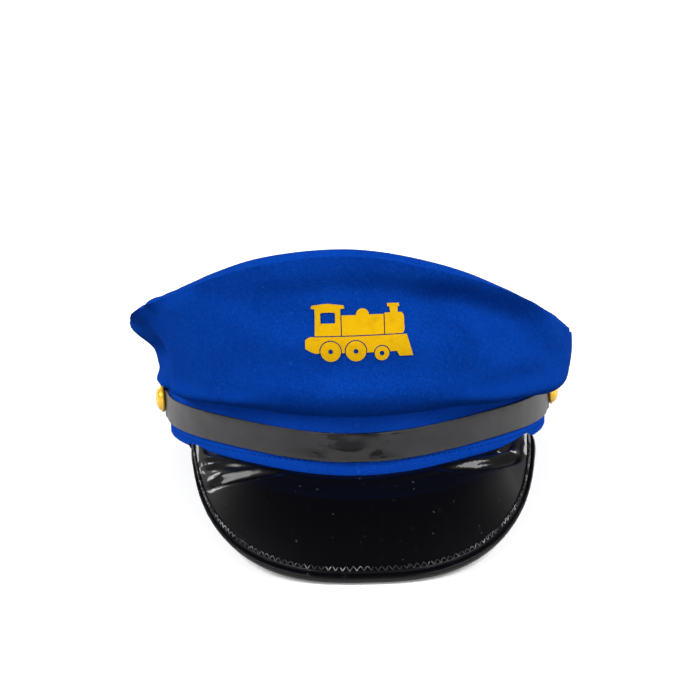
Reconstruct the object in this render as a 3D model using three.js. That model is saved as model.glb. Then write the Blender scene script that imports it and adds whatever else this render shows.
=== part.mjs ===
// Child's dress-up conductor's cap, in millimetres, +Z up and the front towards -Y.
// The cap is modelled in its band's own frame: the origin is the middle of the head opening, in the
// plane of the band's lower edge. The whole cap is then tipped back as it rests on a table, on the tip
// of its peak and the back of its band.
import * as THREE from "three";
import { mergeVertices } from "three/addons/utils/BufferGeometryUtils.js";

// Head opening and band
const HEAD_WIDTH = 153.6;          // side to side inside the band
const HEAD_LENGTH = 182;           // front to back inside the band, before the pointed front
const HEAD_SQUARENESS = 1.88;      // exponent of the head oval, 2 is an ellipse
const FRONT_POINT = 7.3;           // how far the stiffened front stands out past the oval
const FRONT_POINT_SPREAD = 25;     // degrees round the front over which it stands out
const FRONT_DIP = 2.8;             // how far the peak pulls the front of the band down
const BAND_HEIGHT = 22;
const BAND_WALL = 2.4;
const SEAM_GAP = 0.3;              // clearance between pieces that are sewn or laid on each other

// Crown
const CLOTH_WALL = 1.6;
const CROWN_HEIGHT = 59;           // top of the band to the top seam at the front
const CROWN_REACH = 18;            // furthest that the top seam stands out past the band
const CROWN_SEAT = 1.2;            // how far the crown's lower edge lies in over the band's top edge
const CREASE_LIP = 1;              // how far the crown runs out level before its wall begins
const TOP_MIDDLE_HEIGHT = 39;      // top of the band to the middle of the top panel
const TOP_SLACK = 1.4;             // 1 is a tight cone from seam to middle, more hangs like cloth
const TOP_PUFF = 4.2;              // height of the puffed roll just inside the top seam
const PUFF_PLACE = 0.07;           // where the roll is highest, from the seam (0) to the middle (1)
const FOLD_DEPTH = 4;              // what the folds' shares are taken of
const FOLD_START = 0.12;           // level up to which the folds grow from nothing at the band

// Strap and buttons
const STRAP_WIDTH = 10.6;
const STRAP_HEIGHT = 5.4;          // band's lower edge to the strap's lower edge
const STRAP_WALL = 0.8;
const STRAP_REACH = 95;            // degrees from the front to each end of the strap
const STRAP_COLUMNS = 48;
const STRAP_FOLD = 8;              // degrees over which each end is folded double
const BUTTON_WIDTH = 11.6;
const BUTTON_HEIGHT = 4.4;
const BUTTON_UNDERCUT = 0.6;       // height at which the underside flares out to the edge
const BUTTON_RIM = 1.1;            // height of the edge's underside
const BUTTON_RIM_TOP = 2;          // height at which the edge turns into the dome
const BUTTON_DOME_TURNS = [25, 50, 72];
const BUTTON_SIDES = 20;
const BUTTON_RISE = 0.8;           // how far the buttons sit over the middle of the strap
const BUTTON_SHANK = 7;            // width of the flat back that lies on the strap
const BUTTON_FROM_END = 5;         // degrees from each end of the strap to the middle of its button

// Peak
const PEAK_ANGLE = 57;             // degrees from the front to each corner
const PEAK_HALF_WIDTH = 71.4;
const PEAK_SHIFT = 2.2;            // how far the free edge sits to the right of the middle
const PEAK_WIDEST_AHEAD = 2;       // middle of the head to where the free edge's oval is widest
const PEAK_CORNER_AHEAD = 45;      // middle of the head to the corners
const PEAK_CORNER_DROP = 2.8;      // how far the corners lie under the band's lower edge
const PEAK_TIP_AHEAD = 132.4;      // middle of the head to the tip
const PEAK_DROP = 20.7;            // degrees that the plane of the free edge falls to the tip
const PEAK_SQUARENESS = 2.68;      // exponent of the free edge's outline
const PEAK_ARCH = 3;               // how far the sheet rises above a straight fall
const PEAK_WALL = 1.6;
const PEAK_SEAT_DROP_FROM = 0.84;  // share of the way to a corner where the seat starts to drop
const PEAK_SEAT_DROP_TO = 0.93;    // and where it ends
const BINDING_WIDTH = 6.8;
const BINDING_WALL = 0.8;
const BINDING_GAP = 0.45;          // clearance to the sheet that it folds round
const BINDING_ROUND = 0.7;         // height of the points that round its edge, of its half thickness

// Printed engine
const PRINT_WIDTH = 40;
const PRINT_HEIGHT = 21.6;
const PRINT_SIDE = 1.1;            // middle of the print to the right of the cap's centre line
const PRINT_LEVEL = 30.8;          // top of the band to the middle of the print
const PRINT_TILT = 0.6;            // degrees
const PRINT_WALL = 0.4;
const PRINT_GAP = 0.45;            // clearance to the cloth
const PRINT_LINE = 0.4;            // width of the lines between the print's pieces
const PRINT_STEP = 4.5;            // longest edge before a plate is bent onto the cloth
const PRINT_CURVE_SPANS = 5;       // spans in each curve of an outline
const PLACE_STEPS = 14;            // steps that find a place on the crown's surface
const LARGE_WHEEL = 3.8;           // radius
const SMALL_WHEEL = 2.7;           // radius
const WHEEL_HUB = 0.9;             // radius of the bare spot in each wheel

// Number of columns round the cap and of rows up it
const COLUMNS = 72;
const SIDE_ROWS = 12;
const TOP_ROWS = [0.035, 0.08, 0.15, 0.28, 0.46, 0.7];
const PEAK_COLUMNS = 36;
const PEAK_ROWS = 6;

// Steps over which slopes are taken: on the crown, over the peak's sheet and along its edge
const CROWN_STEP = 0.02;
const PEAK_STEP = 0.01;
const EDGE_STEP = 0.004;

// Cross-sections of the crown, one for each azimuth in degrees from the front, positive to the right.
// rim and reach: height and overhang of the top seam, as shares of CROWN_HEIGHT and CROWN_REACH.
// lowOut, lowUp: pull of the curve as it leaves the band; highOut, highDown: its pull below the seam.
// Outward pulls are shares of CROWN_REACH, and upward ones of CROWN_HEIGHT. puff: share of TOP_PUFF.
const SECTIONS = [
  { at: -180, rim: 0.41, reach: 0.74, lowOut: 0.45, lowUp: 0.05, highOut: 0.15, highDown: 0.2, puff: 1 },
  { at: -145, rim: 0.39, reach: 0.88, lowOut: 0.45, lowUp: 0.05, highOut: 0.1, highDown: 0.2, puff: 1 },
  { at: -110, rim: 0.38, reach: 0.9, lowOut: 0.25, lowUp: 0, highOut: -0.3, highDown: 0.2, puff: 0.5 },
  { at: -82, rim: 0.42, reach: 0.88, lowOut: 0.05, lowUp: 0, highOut: -0.55, highDown: 0.2, puff: 0.3 },
  { at: -60, rim: 0.59, reach: 0.93, lowOut: 0.25, lowUp: 0, highOut: -0.55, highDown: 0.26, puff: 0.6 },
  { at: -40, rim: 0.765, reach: 0.98, lowOut: 0.8, lowUp: 0.04, highOut: -0.25, highDown: 0.3, puff: 0.8 },
  { at: -20, rim: 0.94, reach: 0.7, lowOut: 0.85, lowUp: 0.06, highOut: -0.1, highDown: 0.42, puff: 1.05 },
  { at: 0, rim: 1, reach: 0.4, lowOut: 0.8, lowUp: 0.06, highOut: 0, highDown: 0.5, puff: 0.95 },
  { at: 20, rim: 0.865, reach: 0.7, lowOut: 0.85, lowUp: 0.06, highOut: -0.05, highDown: 0.42, puff: 0.9 },
  { at: 40, rim: 0.65, reach: 0.94, lowOut: 0.85, lowUp: 0.02, highOut: 0, highDown: 0.3, puff: 0.3 },
  { at: 60, rim: 0.4, reach: 0.83, lowOut: 0.7, lowUp: -0.08, highOut: 0.05, highDown: 0.22, puff: 0.1 },
  { at: 82, rim: 0.28, reach: 0.63, lowOut: 0.42, lowUp: -0.09, highOut: 0.05, highDown: 0.18, puff: 0.3 },
  { at: 110, rim: 0.3, reach: 0.72, lowOut: 0.5, lowUp: -0.05, highOut: 0.1, highDown: 0.18, puff: 0.6 },
  { at: 145, rim: 0.36, reach: 0.76, lowOut: 0.45, lowUp: 0.02, highOut: 0.12, highDown: 0.2, puff: 1 },
];

// Folds and dents of the crown, at an azimuth in degrees. level: 0 at the band, 1 at the top seam, 2 in
// the middle of the top. wide and tall: spread in degrees and in level. out: outward share of
// FOLD_DEPTH, a dent is negative. lean: degrees that the fold leans to the right from bottom to top,
// for each level.
const FOLDS = [
  { at: 12, level: 0.78, wide: 24, tall: 0.12, out: -0.6, lean: -20 },
  { at: 40, level: 0.7, wide: 16, tall: 0.13, out: -0.65, lean: -30 },
  { at: 29, level: 0.5, wide: 5, tall: 0.16, out: 0.3, lean: -30 },
  { at: -68, level: 0.62, wide: 8, tall: 0.24, out: -0.75, lean: -10 },
  { at: -55, level: 0.4, wide: 6, tall: 0.22, out: 0.4, lean: -6 },
  { at: 0, level: 0.22, wide: 40, tall: 0.12, out: 0.35, lean: 0 },
  { at: 66, level: 0.55, wide: 9, tall: 0.3, out: 0.3, lean: 12 },
  { at: 100, level: 0.55, wide: 8, tall: 0.35, out: -0.5, lean: 14 },
  { at: 135, level: 0.6, wide: 12, tall: 0.3, out: -0.6, lean: -16 },
  { at: 172, level: 0.5, wide: 10, tall: 0.35, out: 0.4, lean: 10 },
  { at: -120, level: 0.6, wide: 10, tall: 0.35, out: -0.6, lean: 12 },
  { at: -152, level: 0.5, wide: 9, tall: 0.3, out: 0.45, lean: -10 },
  { at: -35, level: 1.3, wide: 26, tall: 0.16, out: -0.5, lean: 0 },
  { at: 95, level: 1.42, wide: 34, tall: 0.2, out: -0.8, lean: 0 },
  { at: -130, level: 1.45, wide: 32, tall: 0.2, out: -0.7, lean: 0 },
];

const BLUE_CLOTH = new THREE.MeshStandardMaterial({ color: 0x0b3fa8, roughness: 0.85, metalness: 0 });
const PATENT = new THREE.MeshStandardMaterial({ color: 0x0a0a0c, roughness: 0.12, metalness: 0 });
const STRAP_BLACK = new THREE.MeshStandardMaterial({ color: 0x303032, roughness: 0.35, metalness: 0 });
const GOLD = new THREE.MeshStandardMaterial({ color: 0xe8b430, roughness: 0.3, metalness: 0.9 });
const PRINT_YELLOW = new THREE.MeshStandardMaterial({ color: 0xecba18, roughness: 0.7, metalness: 0 });

const radians = THREE.MathUtils.degToRad;
const lerp = THREE.MathUtils.lerp;

// Share of the pointed front at an azimuth in radians: 1 at the front, 0 at the sides and back.
function frontShare(azimuth) {
  return Math.exp(-((azimuth / radians(FRONT_POINT_SPREAD)) ** 2));
}

// Distance from the middle of the head to the head oval, grown by an offset.
function ovalRadius(azimuth, offset) {
  const across = Math.abs(Math.sin(azimuth) / (HEAD_WIDTH / 2 + offset)) ** HEAD_SQUARENESS;
  const along = Math.abs(Math.cos(azimuth) / (HEAD_LENGTH / 2 + offset)) ** HEAD_SQUARENESS;
  return (across + along) ** (-1 / HEAD_SQUARENESS) + FRONT_POINT * frontShare(azimuth);
}

function polarPoint(azimuth, radius, height) {
  return new THREE.Vector3(radius * Math.sin(azimuth), -radius * Math.cos(azimuth), height);
}

// Point beside the band, at an offset from the inside of the band and a height over its lower edge.
function bandPoint(azimuth, offset, height) {
  return polarPoint(azimuth, ovalRadius(azimuth, offset), height - FRONT_DIP * frontShare(azimuth));
}

// Geometry of a sheet between an outer and an inner grid of points, [station][row]. A closed sheet
// runs round to its first station. With poles, the last row of each grid closes on its pole.
function sheetGeometry(outer, inner, closed, poles) {
  const stations = outer.length;
  const rows = outer[0].length;
  const points = [...outer.flat(), ...inner.flat()];
  const shift = stations * rows;
  const faces = [];
  const quad = (a, b, c, d) => faces.push(a, b, c, a, c, d);
  const spans = closed ? stations : stations - 1;
  for (let i = 0; i < spans; i += 1) {
    const here = i * rows;
    const next = ((i + 1) % stations) * rows;
    for (let j = 0; j + 1 < rows; j += 1) {
      quad(here + j, next + j, next + j + 1, here + j + 1);
      quad(shift + here + j, shift + here + j + 1, shift + next + j + 1, shift + next + j);
    }
    quad(here, shift + here, shift + next, next);
    const last = rows - 1;
    if (poles) {
      const top = points.length;
      faces.push(here + last, next + last, top, shift + next + last, shift + here + last, top + 1);
    } else {
      quad(here + last, next + last, shift + next + last, shift + here + last);
    }
  }
  if (!closed) {
    const end = (stations - 1) * rows;
    for (let j = 0; j + 1 < rows; j += 1) {
      quad(j, j + 1, shift + j + 1, shift + j);
      quad(end + j, shift + end + j, shift + end + j + 1, end + j + 1);
    }
  }
  if (poles) {
    points.push(poles[0], poles[1]);
  }
  return outwardGeometry(points, faces);
}

// Signed volume of a closed set of triangles, positive where they face out.
function signedVolume(points, faces) {
  let volume = 0;
  const cross = new THREE.Vector3();
  for (let i = 0; i < faces.length; i += 3) {
    const [a, b, c] = [points[faces[i]], points[faces[i + 1]], points[faces[i + 2]]];
    volume += a.dot(cross.crossVectors(b, c)) / 6;
  }
  return volume;
}

// Geometry from points and triangles that close a body, turned so that its faces point out.
function outwardGeometry(points, faces) {
  const turned = signedVolume(points, faces) < 0 ? [...faces].reverse() : faces;
  const geometry = new THREE.BufferGeometry();
  const position = points.flatMap((point) => point.toArray());
  geometry.setAttribute("position", new THREE.Float32BufferAttribute(position, 3));
  geometry.setIndex(turned);
  geometry.computeVertexNormals();
  return geometry;
}

// Smooth value of one column of SECTIONS at an azimuth in degrees, round the whole cap.
function sectionValue(column, azimuth) {
  const count = SECTIONS.length;
  const at = (index) => {
    const turns = Math.floor(index / count);
    const row = SECTIONS[index - turns * count];
    return { azimuth: row.at + 360 * turns, value: row[column] };
  };
  const wrapped = THREE.MathUtils.euclideanModulo(azimuth + 180, 360) - 180;
  let index = 0;
  while (at(index + 1).azimuth <= wrapped) {
    index += 1;
  }
  const [before, start, end, after] = [at(index - 1), at(index), at(index + 1), at(index + 2)];
  const span = end.azimuth - start.azimuth;
  const startSlope = (end.value - before.value) / (end.azimuth - before.azimuth);
  const endSlope = (after.value - start.value) / (after.azimuth - start.azimuth);
  const t = (wrapped - start.azimuth) / span;
  const bend = t * t * (3 - 2 * t);
  const pull = t * (1 - t) * ((1 - t) * startSlope - t * endSlope) * span;
  return lerp(start.value, end.value, bend) + pull;
}

// Outward displacement of the cloth by its folds.
function foldDisplacement(azimuth, level) {
  let sum = 0;
  for (const fold of FOLDS) {
    const centre = fold.at + fold.lean * (level - fold.level);
    const across = THREE.MathUtils.euclideanModulo(azimuth - centre + 180, 360) - 180;
    const share = Math.exp(-((across / fold.wide) ** 2) - ((level - fold.level) / fold.tall) ** 2);
    sum += fold.out * share;
  }
  const fade = Math.min(1, level / FOLD_START);
  return FOLD_DEPTH * sum * fade;
}

// The top seam at an azimuth: its distance from the middle and its height over the band's lower edge.
function rimPlace(azimuth) {
  const degrees = THREE.MathUtils.radToDeg(azimuth);
  const radius = ovalRadius(azimuth, BAND_WALL) + CROWN_REACH * sectionValue("reach", degrees);
  const height = BAND_HEIGHT + CROWN_HEIGHT * sectionValue("rim", degrees);
  return new THREE.Vector2(radius, height);
}

// Side of the crown in section, from its lip on the band (level 0) to the top seam (level 1).
function sideSection(azimuth, level) {
  const degrees = THREE.MathUtils.radToDeg(azimuth);
  const pull = (column, size) => size * sectionValue(column, degrees);
  const bandRadius = ovalRadius(azimuth, BAND_WALL);
  const crease = BAND_HEIGHT + SEAM_GAP - FRONT_DIP * frontShare(azimuth);
  const start = new THREE.Vector2(bandRadius + CREASE_LIP, crease);
  const end = rimPlace(azimuth);
  const low = new THREE.Vector2(pull("lowOut", CROWN_REACH), pull("lowUp", CROWN_HEIGHT));
  const high = new THREE.Vector2(pull("highOut", CROWN_REACH), -pull("highDown", CROWN_HEIGHT));
  const curve = new THREE.CubicBezierCurve(start, low.add(start), high.add(end), end);
  return curve.getPoint(level);
}

// Top panel in section, from the top seam (share 0) to the middle of the head (share 1).
function topSection(azimuth, share) {
  const rim = rimPlace(azimuth);
  const middle = BAND_HEIGHT + TOP_MIDDLE_HEIGHT;
  const roll = (share / PUFF_PLACE) * Math.exp(1 - share / PUFF_PLACE);
  const puff = TOP_PUFF * sectionValue("puff", THREE.MathUtils.radToDeg(azimuth)) * roll;
  const height = middle + (rim.y - middle) * (1 - share) ** TOP_SLACK + puff;
  return new THREE.Vector2(rim.x * (1 - share), height);
}

// Outer surface of the crown before its folds: level 0 to 1 is the side, 1 to 2 the top.
function smoothCrownPoint(azimuth, level) {
  const place = level <= 1 ? sideSection(azimuth, level) : topSection(azimuth, level - 1);
  return polarPoint(azimuth, place.x, place.y);
}

// Outward direction of a crown surface, from points a little to each side.
function crownNormal(surface, azimuth, level) {
  const low = surface(azimuth, Math.max(level - CROWN_STEP, 0));
  const high = surface(azimuth, Math.min(level + CROWN_STEP, 2 - CROWN_STEP));
  const around = surface(azimuth + CROWN_STEP, level).sub(surface(azimuth - CROWN_STEP, level));
  return around.cross(high.sub(low)).normalize();
}

// Outer surface of the crown with its folds.
function crownPoint(azimuth, level) {
  const point = smoothCrownPoint(azimuth, level);
  const out = foldDisplacement(THREE.MathUtils.radToDeg(azimuth), level);
  return point.addScaledVector(crownNormal(smoothCrownPoint, azimuth, level), out);
}

// Outer and inner points of the crown's cloth in one column, at the given levels. seamEnd is the end
// of the list that lies on the top seam, where each panel stops short by half the seam gap.
function crownColumn(azimuth, levels, seamEnd) {
  const outer = levels.map((level) => crownPoint(azimuth, level));
  const seam = seamEnd === "last" ? levels.length - 1 : 0;
  const neighbour = seamEnd === "last" ? seam - 1 : 1;
  const inward = outer[neighbour].clone().sub(outer[seam]).setLength(SEAM_GAP / 2);
  const normals = levels.map((level) => crownNormal(crownPoint, azimuth, level));
  outer[seam].add(inward);
  const inner = outer.map((point, row) => point.clone().addScaledVector(normals[row], -CLOTH_WALL));
  return { outer, inner };
}

function columnAzimuths(count, from, to) {
  return Array.from({ length: count }, (_, i) => lerp(from, to, i / count));
}

function wholeTurn() {
  return columnAzimuths(COLUMNS, -Math.PI, Math.PI);
}

// Evenly spread azimuths from one end to the other, both ends included, in radians.
function arc(spans, halfAngle) {
  const half = radians(halfAngle);
  return Array.from({ length: spans + 1 }, (_, i) => lerp(-half, half, i / spans));
}

function crownSideGeometry() {
  const levels = Array.from({ length: SIDE_ROWS + 1 }, (_, row) => row / SIDE_ROWS);
  const outer = [];
  const inner = [];
  for (const azimuth of wholeTurn()) {
    const column = crownColumn(azimuth, levels, "last");
    const seat = bandPoint(azimuth, BAND_WALL - CROWN_SEAT, BAND_HEIGHT + SEAM_GAP);
    outer.push([seat, ...column.outer]);
    inner.push([seat.clone().setZ(seat.z + CLOTH_WALL), ...column.inner]);
  }
  return sheetGeometry(outer, inner, true);
}

function crownTopGeometry() {
  const levels = [1, ...TOP_ROWS.map((share) => 1 + share)];
  const columns = wholeTurn().map((azimuth) => crownColumn(azimuth, levels, "first"));
  const middle = crownPoint(0, 2);
  const underMiddle = middle.clone().setZ(middle.z - CLOTH_WALL);
  const outer = columns.map((column) => column.outer);
  const inner = columns.map((column) => column.inner);
  return sheetGeometry(outer, inner, true, [middle, underMiddle]);
}

function bandGeometry() {
  const face = (offset) => (azimuth) => [
    bandPoint(azimuth, offset, 0),
    bandPoint(azimuth, offset, BAND_HEIGHT),
  ];
  return sheetGeometry(wholeTurn().map(face(BAND_WALL)), wholeTurn().map(face(0)), true);
}

// Strap round the front of the band, folded double under each button.
function strapGeometry() {
  const stations = arc(STRAP_COLUMNS, STRAP_REACH);
  const inside = BAND_WALL + SEAM_GAP;
  const ply = (azimuth) => (Math.abs(azimuth) > radians(STRAP_REACH - STRAP_FOLD) ? 2 : 1);
  const face = (offset) => (azimuth) => [
    bandPoint(azimuth, offset(azimuth), STRAP_HEIGHT),
    bandPoint(azimuth, offset(azimuth), STRAP_HEIGHT + STRAP_WIDTH),
  ];
  const outer = stations.map(face((azimuth) => inside + STRAP_WALL * ply(azimuth)));
  const inner = stations.map(face(() => inside));
  return sheetGeometry(outer, inner, false);
}

// Domed button, turned about its own axis, with its flat back at the origin.
function buttonGeometry() {
  const radius = BUTTON_WIDTH / 2;
  const shank = BUTTON_SHANK / 2;
  const profile = [
    new THREE.Vector2(0, 0),
    new THREE.Vector2(shank, 0),
    new THREE.Vector2(shank, BUTTON_UNDERCUT),
    new THREE.Vector2(radius, BUTTON_RIM),
    new THREE.Vector2(radius, BUTTON_RIM_TOP),
  ];
  for (const angle of BUTTON_DOME_TURNS) {
    const turn = radians(angle);
    const height = lerp(BUTTON_RIM_TOP, BUTTON_HEIGHT, Math.sin(turn));
    profile.push(new THREE.Vector2(radius * Math.cos(turn), height));
  }
  profile.push(new THREE.Vector2(0, BUTTON_HEIGHT));
  return weldedGeometry(new THREE.LatheGeometry(profile, BUTTON_SIDES));
}

// The same shape with its shared corners merged and without triangles of no area.
function weldedGeometry(geometry) {
  const bare = geometry.clone();
  bare.deleteAttribute("normal");
  bare.deleteAttribute("uv");
  const merged = mergeVertices(bare, 1e-4);
  const index = merged.getIndex().array;
  const kept = [];
  for (let i = 0; i < index.length; i += 3) {
    const [a, b, c] = [index[i], index[i + 1], index[i + 2]];
    if (a !== b && b !== c && c !== a) {
      kept.push(a, b, c);
    }
  }
  const points = [];
  for (let i = 0; i < merged.attributes.position.count; i += 1) {
    points.push(new THREE.Vector3().fromBufferAttribute(merged.attributes.position, i));
  }
  return outwardGeometry(points, kept);
}

// Point of the peak's free edge, in the plane that falls to the tip. share runs from -1 at the left
// corner to 1 at the right one, and inset moves the point in from the edge.
function peakEdge(share, inset) {
  const reach = PEAK_TIP_AHEAD - PEAK_WIDEST_AHEAD;
  const cornerAhead = (PEAK_CORNER_AHEAD - PEAK_WIDEST_AHEAD) / reach;
  const turn = share * Math.acos(cornerAhead ** (PEAK_SQUARENESS / 2));
  const power = 2 / PEAK_SQUARENESS;
  const side = Math.sign(turn) * Math.abs(Math.sin(turn)) ** power;
  const ahead = PEAK_WIDEST_AHEAD + (reach - inset) * Math.cos(turn) ** power;
  const drop = PEAK_CORNER_DROP + (ahead - PEAK_CORNER_AHEAD) * Math.tan(radians(PEAK_DROP));
  return new THREE.Vector3(PEAK_SHIFT + (PEAK_HALF_WIDTH - inset) * side, -ahead, -drop);
}

// How near a place across the peak is to its corners: 0 in front, 1 at the corners.
function cornerShare(share) {
  return THREE.MathUtils.smoothstep(Math.abs(share), PEAK_SEAT_DROP_FROM, PEAK_SEAT_DROP_TO);
}

// Upper surface of the peak: row 0 lies under the inside of the band, row 1 at the band's outer face,
// and the rest fall to the free edge. Near its corners the sheet drops to leave room for the binding.
function peakPoint(share, row) {
  const azimuth = radians(share * PEAK_ANGLE);
  const corner = cornerShare(share);
  const seat = -SEAM_GAP - corner * (BINDING_WALL + BINDING_GAP);
  if (row === 0) {
    return bandPoint(azimuth, BAND_WALL / 4, seat);
  }
  const start = bandPoint(azimuth, BAND_WALL * (1 - corner / 2), seat);
  const end = peakEdge(share, BINDING_WALL + BINDING_GAP);
  const fall = (row - 1) / (PEAK_ROWS - 1);
  const arch = PEAK_ARCH * 4 * fall * (1 - fall) * Math.cos((share * Math.PI) / 2);
  return start.lerp(end, fall).add(new THREE.Vector3(0, -arch / 2, arch));
}

// Upward direction of the peak's surface.
function peakNormal(share, row) {
  if (row === 0) {
    return new THREE.Vector3(0, 0, 1);
  }
  const right = peakPoint(Math.min(share + PEAK_STEP, 1), row);
  const along = right.sub(peakPoint(Math.max(share - PEAK_STEP, -1), row));
  const down = peakPoint(share, Math.min(row + 0.5, PEAK_ROWS)).sub(peakPoint(share, row - 0.5));
  return down.cross(along).normalize();
}

function peakShares() {
  return Array.from({ length: PEAK_COLUMNS + 1 }, (_, i) => (2 * i) / PEAK_COLUMNS - 1);
}

function peakGeometry() {
  const rows = Array.from({ length: PEAK_ROWS + 1 }, (_, row) => row);
  const outer = peakShares().map((share) => rows.map((row) => peakPoint(share, row)));
  const lower = (share, row) => peakPoint(share, row).addScaledVector(peakNormal(share, row), -PEAK_WALL);
  const inner = peakShares().map((share) => rows.map((row) => lower(share, row)));
  return sheetGeometry(outer, inner, false);
}

// Strip folded round the peak's free edge. In section, "in" runs in from the edge and "up" from the
// middle of the sheet's thickness.
function bindingGeometry() {
  const halfInside = PEAK_WALL / 2 + BINDING_GAP;
  const halfOutside = halfInside + BINDING_WALL;
  const section = (half, edge, flap) => [
    { in: flap, up: half },
    { in: edge + BINDING_WALL, up: half },
    { in: edge + BINDING_WALL / 4, up: half * BINDING_ROUND },
    { in: edge, up: 0 },
    { in: edge + BINDING_WALL / 4, up: -half * BINDING_ROUND },
    { in: edge + BINDING_WALL, up: -half },
    { in: flap, up: -half },
  ];
  const outer = [];
  const inner = [];
  for (const share of peakShares()) {
    const sheetEdge = peakPoint(share, PEAK_ROWS);
    const ahead = peakEdge(Math.min(share + EDGE_STEP, 1), 0);
    const along = ahead.sub(peakEdge(Math.max(share - EDGE_STEP, -1), 0)).normalize();
    const hem = BINDING_WALL + BINDING_GAP;
    const azimuth = Math.atan2(sheetEdge.x, -sheetEdge.y);
    const room = Math.hypot(sheetEdge.x, sheetEdge.y) - ovalRadius(azimuth, BAND_WALL / 4);
    const flap = Math.min(BINDING_WIDTH, room + hem);
    const ruling = sheetEdge.distanceTo(peakPoint(share, 1));
    const flapRow = PEAK_ROWS - (PEAK_ROWS - 1) * Math.min(1, flap / ruling);
    const inward = peakPoint(share, flapRow).sub(sheetEdge).normalize();
    const normal = along.clone().cross(inward).normalize();
    const edge = sheetEdge.clone().addScaledVector(inward, -hem);
    const place = ({ in: across, up }) => edge
      .clone()
      .addScaledVector(inward, across)
      .addScaledVector(normal, up - PEAK_WALL / 2);
    outer.push(section(halfOutside, 0, flap).map(place));
    inner.push(section(halfInside, BINDING_WALL, flap).map(place));
  }
  return sheetGeometry(outer, inner, false);
}

// Closed outline through points given as [x, y] pairs.
function outline(pairs) {
  return new THREE.Shape(pairs.map(([x, y]) => new THREE.Vector2(x, y)));
}

// Outlines of a plain steam engine that faces right, each a piece of the print. x and y turn shares of
// the print's width and height into places.
function engineOutlines() {
  const x = (share) => PRINT_WIDTH * (share - 0.5);
  const y = (share) => PRINT_HEIGHT * (share - 0.5);
  const axle = y(0) + LARGE_WHEEL;
  const deck = y(0.43);
  const deckUnder = y(0.15);
  const body = deck + PRINT_LINE;
  const wheels = {
    print_wheel_rear: { x: x(0.235), y: axle, radius: LARGE_WHEEL },
    print_wheel_middle: { x: x(0.47), y: axle, radius: LARGE_WHEEL },
    print_wheel_front: { x: x(0.71), y: y(0) + SMALL_WHEEL, radius: SMALL_WHEEL },
  };
  const shapes = {};

  const cab = outline([
    [x(0.09), body],
    [x(0.335), body],
    [x(0.335), y(0.9)],
    [x(0.375), y(0.91)],
    [x(0.365), y(0.965)],
    [x(0.21), y(1)],
    [x(0.06), y(0.965)],
    [x(0.05), y(0.91)],
    [x(0.09), y(0.9)],
  ]);
  cab.holes.push(outline([
    [x(0.145), y(0.66)],
    [x(0.145), y(0.8)],
    [x(0.165), y(0.84)],
    [x(0.265), y(0.84)],
    [x(0.285), y(0.8)],
    [x(0.285), y(0.66)],
  ]));
  shapes.print_cab = cab;

  const barrelLeft = x(0.335) + PRINT_LINE;
  const barrelRight = x(0.735);
  const barrelTop = y(0.79);
  const dome = {
    x: (barrelLeft + barrelRight) / 2,
    halfWidth: PRINT_WIDTH * 0.06,
    rise: PRINT_HEIGHT * 0.11,
  };
  const boiler = outline([[barrelLeft, barrelTop], [barrelLeft, body], [barrelRight, body]]);
  boiler.lineTo(barrelRight, barrelTop);
  boiler.lineTo(dome.x + dome.halfWidth, barrelTop);
  boiler.absellipse(dome.x, barrelTop, dome.halfWidth, dome.rise, 0, Math.PI, false, 0);
  shapes.print_boiler = boiler;

  const smokeLeft = barrelRight + PRINT_LINE;
  shapes.print_smokebox = outline([
    [smokeLeft, body],
    [x(0.905), body],
    [x(0.925), y(0.5)],
    [x(0.925), y(0.76)],
    [x(0.905), y(0.81)],
    [x(0.87), y(0.81)],
    [x(0.875), y(0.92)],
    [x(0.895), y(0.925)],
    [x(0.895), y(0.98)],
    [x(0.775), y(0.98)],
    [x(0.775), y(0.925)],
    [x(0.795), y(0.92)],
    [x(0.8), y(0.81)],
    [smokeLeft, y(0.81)],
  ]);

  const frame = outline([
    [x(0.04), deck],
    [x(0), y(0.38)],
    [x(0), y(0.23)],
    [x(0.08), deckUnder],
  ]);
  for (const wheel of Object.values(wheels)) {
    const clear = wheel.radius + PRINT_LINE;
    const rise = deckUnder - wheel.y;
    const half = Math.sqrt(clear ** 2 - rise ** 2);
    frame.lineTo(wheel.x - half, deckUnder);
    frame.absarc(wheel.x, wheel.y, clear, Math.atan2(rise, -half), Math.atan2(rise, half), true);
  }
  frame.lineTo(x(0.85), deckUnder);
  frame.lineTo(x(0.875), y(0.06));
  frame.lineTo(x(1), y(0.06));
  frame.lineTo(x(0.945), deck);
  shapes.print_frame = frame;

  for (const [name, wheel] of Object.entries(wheels)) {
    const disc = new THREE.Shape().absarc(wheel.x, wheel.y, wheel.radius, 0, 2 * Math.PI, false);
    disc.holes.push(new THREE.Path().absarc(wheel.x, wheel.y, WHEEL_HUB, 0, 2 * Math.PI, true));
    shapes[name] = disc;
  }
  return shapes;
}

// Splits every edge longer than a step at its middle, as often as needed, so that no crack opens.
function refinedFaces(points, faces, step) {
  let current = faces;
  for (;;) {
    const middles = new Map();
    const middle = (a, b) => {
      if (points[a].distanceTo(points[b]) <= step) {
        return -1;
      }
      const key = a < b ? `${a}_${b}` : `${b}_${a}`;
      if (!middles.has(key)) {
        points.push(points[a].clone().lerp(points[b], 0.5));
        middles.set(key, points.length - 1);
      }
      return middles.get(key);
    };
    const next = [];
    for (let i = 0; i < current.length; i += 3) {
      const corner = current.slice(i, i + 3);
      const [a, b, c] = corner;
      const split = [middle(a, b), middle(b, c), middle(c, a)];
      next.push(...splitTriangle(corner, split));
    }
    current = next;
    if (middles.size === 0) {
      return current;
    }
  }
}

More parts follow.
